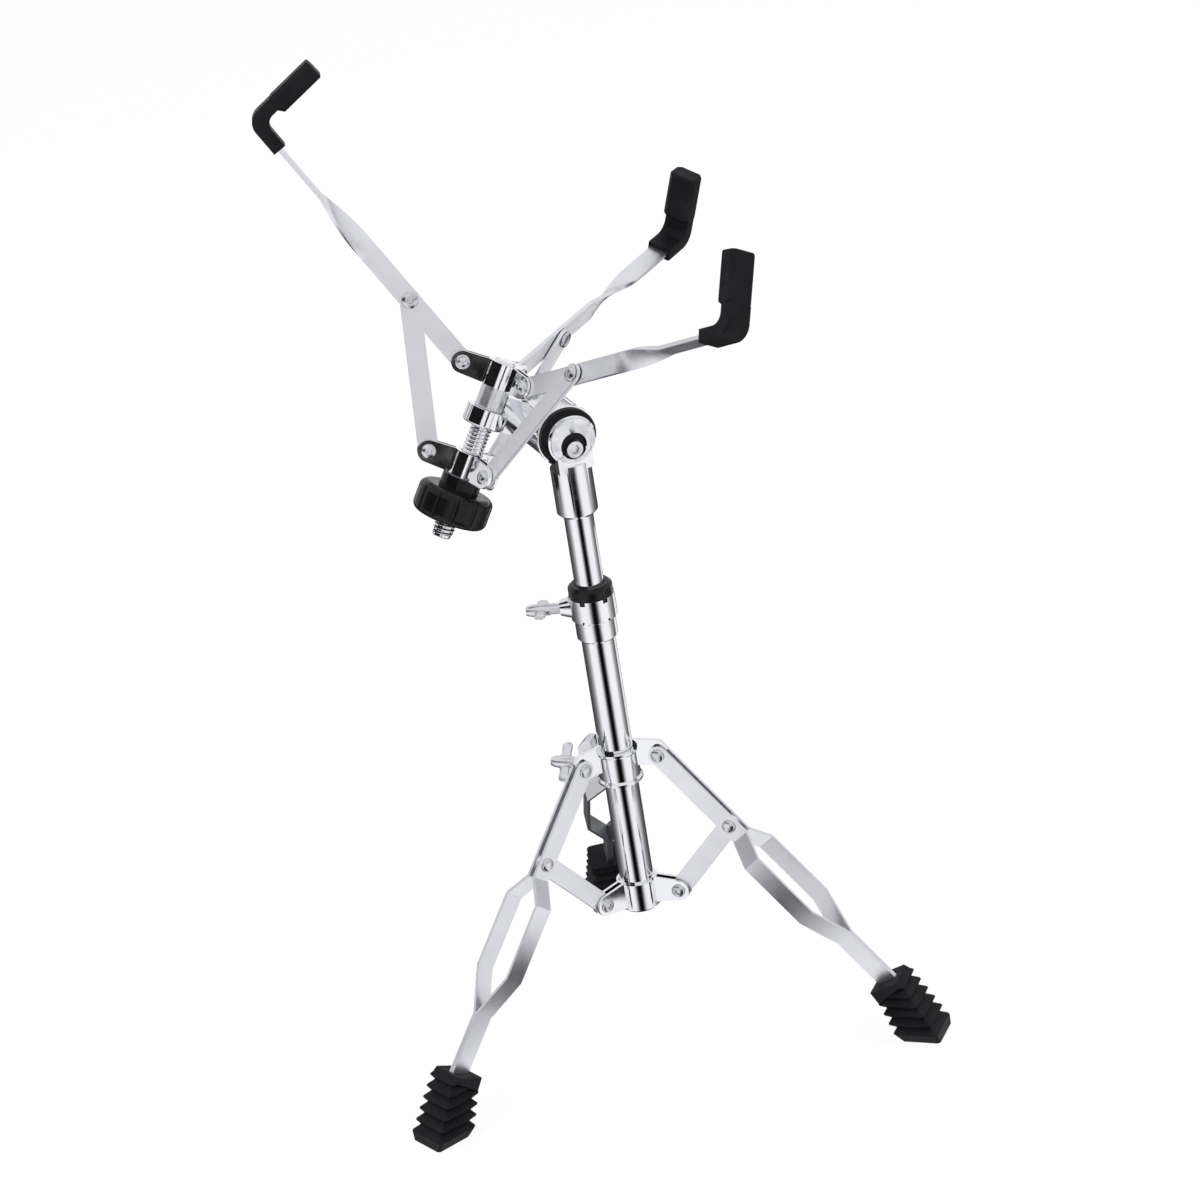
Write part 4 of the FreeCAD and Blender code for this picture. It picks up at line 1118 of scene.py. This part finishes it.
@dataclass(frozen=True)
class GradedCard:
    """A ring of graded card round the stand, as photographers lay round chrome.

    Only reflections show it. Its tones run from the camera's side of the stand round both
    ways to the far side.
    """

    name: str = "graded_card"
    near: float = 0.03
    far: float = 1.02
    lift: float = 0.002
    turn: float = 2.5
    tones: Stops = (
        (0.0, 0.002), (7.0, 0.004), (13.0, 0.07), (21.0, 0.45), (29.0, 0.9), (40.0, 1.0),
        (66.0, 1.0), (76.0, 0.74), (86.0, 0.46), (97.0, 0.27), (112.0, 0.14), (132.0, 0.07),
        (180.0, 0.045))
    sides: int = 96

    def build(self) -> None:
        """Lay the ring and grade its tones by their share of half a turn."""
        card = turned(self.name, [(self.near, self.lift), (self.far, self.lift)], self.sides)
        desk = NodeDesk(self.name)
        place = desk.add("TexCoord")
        swing = desk.add("Mapping")
        turn = math.radians(QUARTER_TURN - self.turn)
        swing.inputs["Rotation"].default_value = (0.0, 0.0, turn)
        sweep = desk.add("TexGradient", gradient_type="RADIAL")
        half = 0.5
        centred = desk.add("Math", operation="SUBTRACT")
        centred.inputs[1].default_value = half
        mirrored = desk.add("Math", operation="ABSOLUTE")
        share = desk.add("Math", operation="MULTIPLY")
        share.inputs[1].default_value = 1.0 / half
        ramp = desk.add("ValToRGB")
        fill_ramp(ramp, [(angle / HALF_TURN, tone) for angle, tone in self.tones])
        glow = desk.add("Emission", Strength=1.0)
        desk.join(place.outputs["Object"], swing.inputs["Vector"])
        desk.join(swing.outputs["Vector"], sweep.inputs["Vector"])
        desk.join(sweep.outputs["Fac"], centred.inputs[0])
        desk.join(centred.outputs[0], mirrored.inputs[0])
        desk.join(mirrored.outputs[0], share.inputs[0])
        desk.join(share.outputs[0], ramp.inputs[0])
        desk.join(ramp.outputs[0], glow.inputs["Color"])
        desk.join(glow.outputs[0], desk.output.inputs["Surface"])
        card.data.materials.append(desk.material)
        show_in_reflections(card)


@dataclass(frozen=True)
class FloorCard:
    """A sector of plain card on the floor that only reflections show."""

    name: str
    start: float
    end: float
    near: float
    far: float
    tone: float
    lift: float = 0.004
    steps: int = 16

    def build(self) -> None:
        """Lay the card."""
        line = [(self.near, self.lift), (self.far, self.lift)]
        plain_glow(swept(self.name, line, self.start, self.end, self.steps), self.tone)


@dataclass(frozen=True)
class Panel:
    """An upright curved panel that only reflections show, a black flag or a white reflector.

    Its low and high edges are angles in degrees above eye height.
    """

    name: str
    start: float
    end: float
    low: float
    high: float
    tone: float
    radius: float = 2.4
    eye: float = 0.42
    steps: int = 24

    def build(self) -> None:
        """Set the panel up."""
        line = [(self.radius, self.eye + self.radius * math.tan(math.radians(angle)))
                for angle in (self.low, self.high)]
        plain_glow(swept(self.name, line, self.start, self.end, self.steps), self.tone)


@dataclass(frozen=True)
class Lamp:
    """A soft lamp with a width, a height and a power in watts. Reflections don't show it."""

    name: str
    place: Triple
    size: tuple[float, float]
    power: float

    def build(self, aim: Vector) -> None:
        """Hang the lamp and point it.

        Args:
            aim: The point that it lights.
        """
        clear_selection()
        bpy.ops.object.light_add(type="AREA", location=self.place)
        lamp = bpy.context.object
        lamp.name = self.name
        lamp.data.shape = "RECTANGLE"
        lamp.data.size, lamp.data.size_y = self.size
        lamp.data.energy = self.power
        way = aim - Vector(self.place)
        lamp.rotation_euler = way.to_track_quat("-Z", "Y").to_euler()
        lamp.visible_glossy = False


@dataclass
class Studio:
    """Pale floor, reflected cards and panels, soft lights and the photograph's camera."""

    floor_size: float = 30.0
    floor_paint: Triple = (0.86, 0.86, 0.87)
    floor_lift: float = 0.9
    aim: Triple = (0.005, 0.0235, 0.2982)
    foot: Triple = (0.0, 0.0, 0.25)
    distance: float = 3.0
    elevation: float = 26.04
    roll: float = 9.13
    lens: float = 139.5
    sensor: float = 36.0
    cards: tuple[GradedCard, ...] = (
        GradedCard(),
        GradedCard("outer_card", near=1.02, far=2.2, tones=(
            (0.0, 0.85), (21.0, 0.95), (40.0, 1.0), (66.0, 1.0), (76.0, 0.8), (86.0, 0.55),
            (97.0, 0.36), (112.0, 0.22), (132.0, 0.14), (180.0, 0.1))),
    )
    bounce: FloorCard = FloorCard(
        "bounce_card", start=124.0, end=156.0, near=0.4, far=0.8, tone=0.9)
    panels: tuple[Panel, ...] = (
        Panel("black_flag", start=-98.0, end=-22.0, low=7.0, high=27.0, tone=0.008),
        Panel("white_reflector", start=-19.0, end=16.0, low=3.4, high=11.0, tone=1.0),
        Panel("dark_flag", start=-1.5, end=5.5, low=-4.6, high=3.0, tone=0.008),
    )
    lamps: tuple[Lamp, ...] = (
        Lamp("key_lamp", place=(-1.9, -1.7, 2.1), size=(1.4, 1.8), power=42.0),
        Lamp("fill_lamp", place=(2.1, -1.2, 1.6), size=(1.2, 1.8), power=26.0),
        Lamp("top_lamp", place=(0.2, 0.8, 2.6), size=(1.8, 1.8), power=24.0),
    )
    sky: Stops = ((0.0, 0.3), (0.05, 0.42), (0.14, 0.85), (0.45, 1.0), (1.0, 1.0))
    sky_strength: float = 0.86

    def floor(self) -> None:
        """Lay the floor, which cameras and reflections see nearly white."""
        clear_selection()
        bpy.ops.mesh.primitive_plane_add(size=self.floor_size)
        plane = bpy.context.object
        plane.name = "studio_floor"
        desk = NodeDesk("studio_floor")
        paint = desk.add("BsdfDiffuse", Color=(*self.floor_paint, 1.0))
        glow = desk.add("Emission", Color=(1.0, 1.0, 1.0, 1.0), Strength=1.0)
        seen = desk.add("LightPath")
        either = desk.add("Math", operation="MAXIMUM")
        any_ray = desk.add("Math", operation="MAXIMUM")
        part = desk.add("Math", operation="MULTIPLY")
        part.inputs[1].default_value = self.floor_lift
        desk.join(seen.outputs["Is Camera Ray"], either.inputs[0])
        desk.join(seen.outputs["Is Glossy Ray"], either.inputs[1])
        desk.join(either.outputs[0], any_ray.inputs[0])
        desk.join(seen.outputs["Is Transmission Ray"], any_ray.inputs[1])
        desk.join(any_ray.outputs[0], part.inputs[0])
        blend = desk.add("MixShader")
        desk.join(part.outputs[0], blend.inputs[0])
        desk.join(paint.outputs[0], blend.inputs[1])
        desk.join(glow.outputs[0], blend.inputs[2])
        desk.join(blend.outputs[0], desk.output.inputs["Surface"])
        plane.data.materials.append(desk.material)

    def world(self) -> None:
        """Make the light of the room: bright overhead, dim towards the horizon."""
        world = bpy.data.worlds.new("studio")
        bpy.context.scene.world = world
        world.use_nodes = True
        nodes = world.node_tree.nodes
        links = world.node_tree.links
        shade = nodes["Background"]
        way = nodes.new("ShaderNodeTexCoord")
        split = nodes.new("ShaderNodeSeparateXYZ")
        ramp = nodes.new("ShaderNodeValToRGB")
        links.new(way.outputs["Generated"], split.inputs[0])
        links.new(split.outputs["Z"], ramp.inputs[0])
        links.new(ramp.outputs[0], shade.inputs["Color"])
        fill_ramp(ramp, self.sky)
        shade.inputs["Strength"].default_value = self.sky_strength

    def camera(self) -> None:
        """Set the camera where the photograph was taken from."""
        lean = math.radians(self.elevation)
        way = Vector((0.0, -math.cos(lean), math.sin(lean)))
        spot = Vector(self.foot) + self.distance * way
        data = bpy.data.cameras.new("photo_camera")
        data.lens = self.lens
        data.sensor_width = self.sensor
        camera = bpy.data.objects.new("photo_camera", data)
        bpy.context.scene.collection.objects.link(camera)
        camera.location = spot
        camera.rotation_mode = "QUATERNION"
        turn = (Vector(self.aim) - spot).to_track_quat("-Z", "Y")
        camera.rotation_quaternion = turn @ Quaternion(UP, -math.radians(self.roll))
        bpy.context.scene.camera = camera

    def build(self) -> None:
        """Set up the floor, cards, panels, lights and camera."""
        bpy.context.scene.view_settings.view_transform = "Standard"
        self.floor()
        for item in (*self.cards, self.bounce, *self.panels):
            item.build()
        self.world()
        for lamp in self.lamps:
            lamp.build(Vector(self.aim))
        self.camera()


def main() -> None:
    """Build the stand and the studio."""
    logging.basicConfig(level=logging.INFO, format="%(name)s: %(message)s")
    for assembly in (Column(), Tripod(), Tilter(), Basket(), InnerParts(), Studio()):
        assembly.build()


if __name__ == "__main__":
    main()
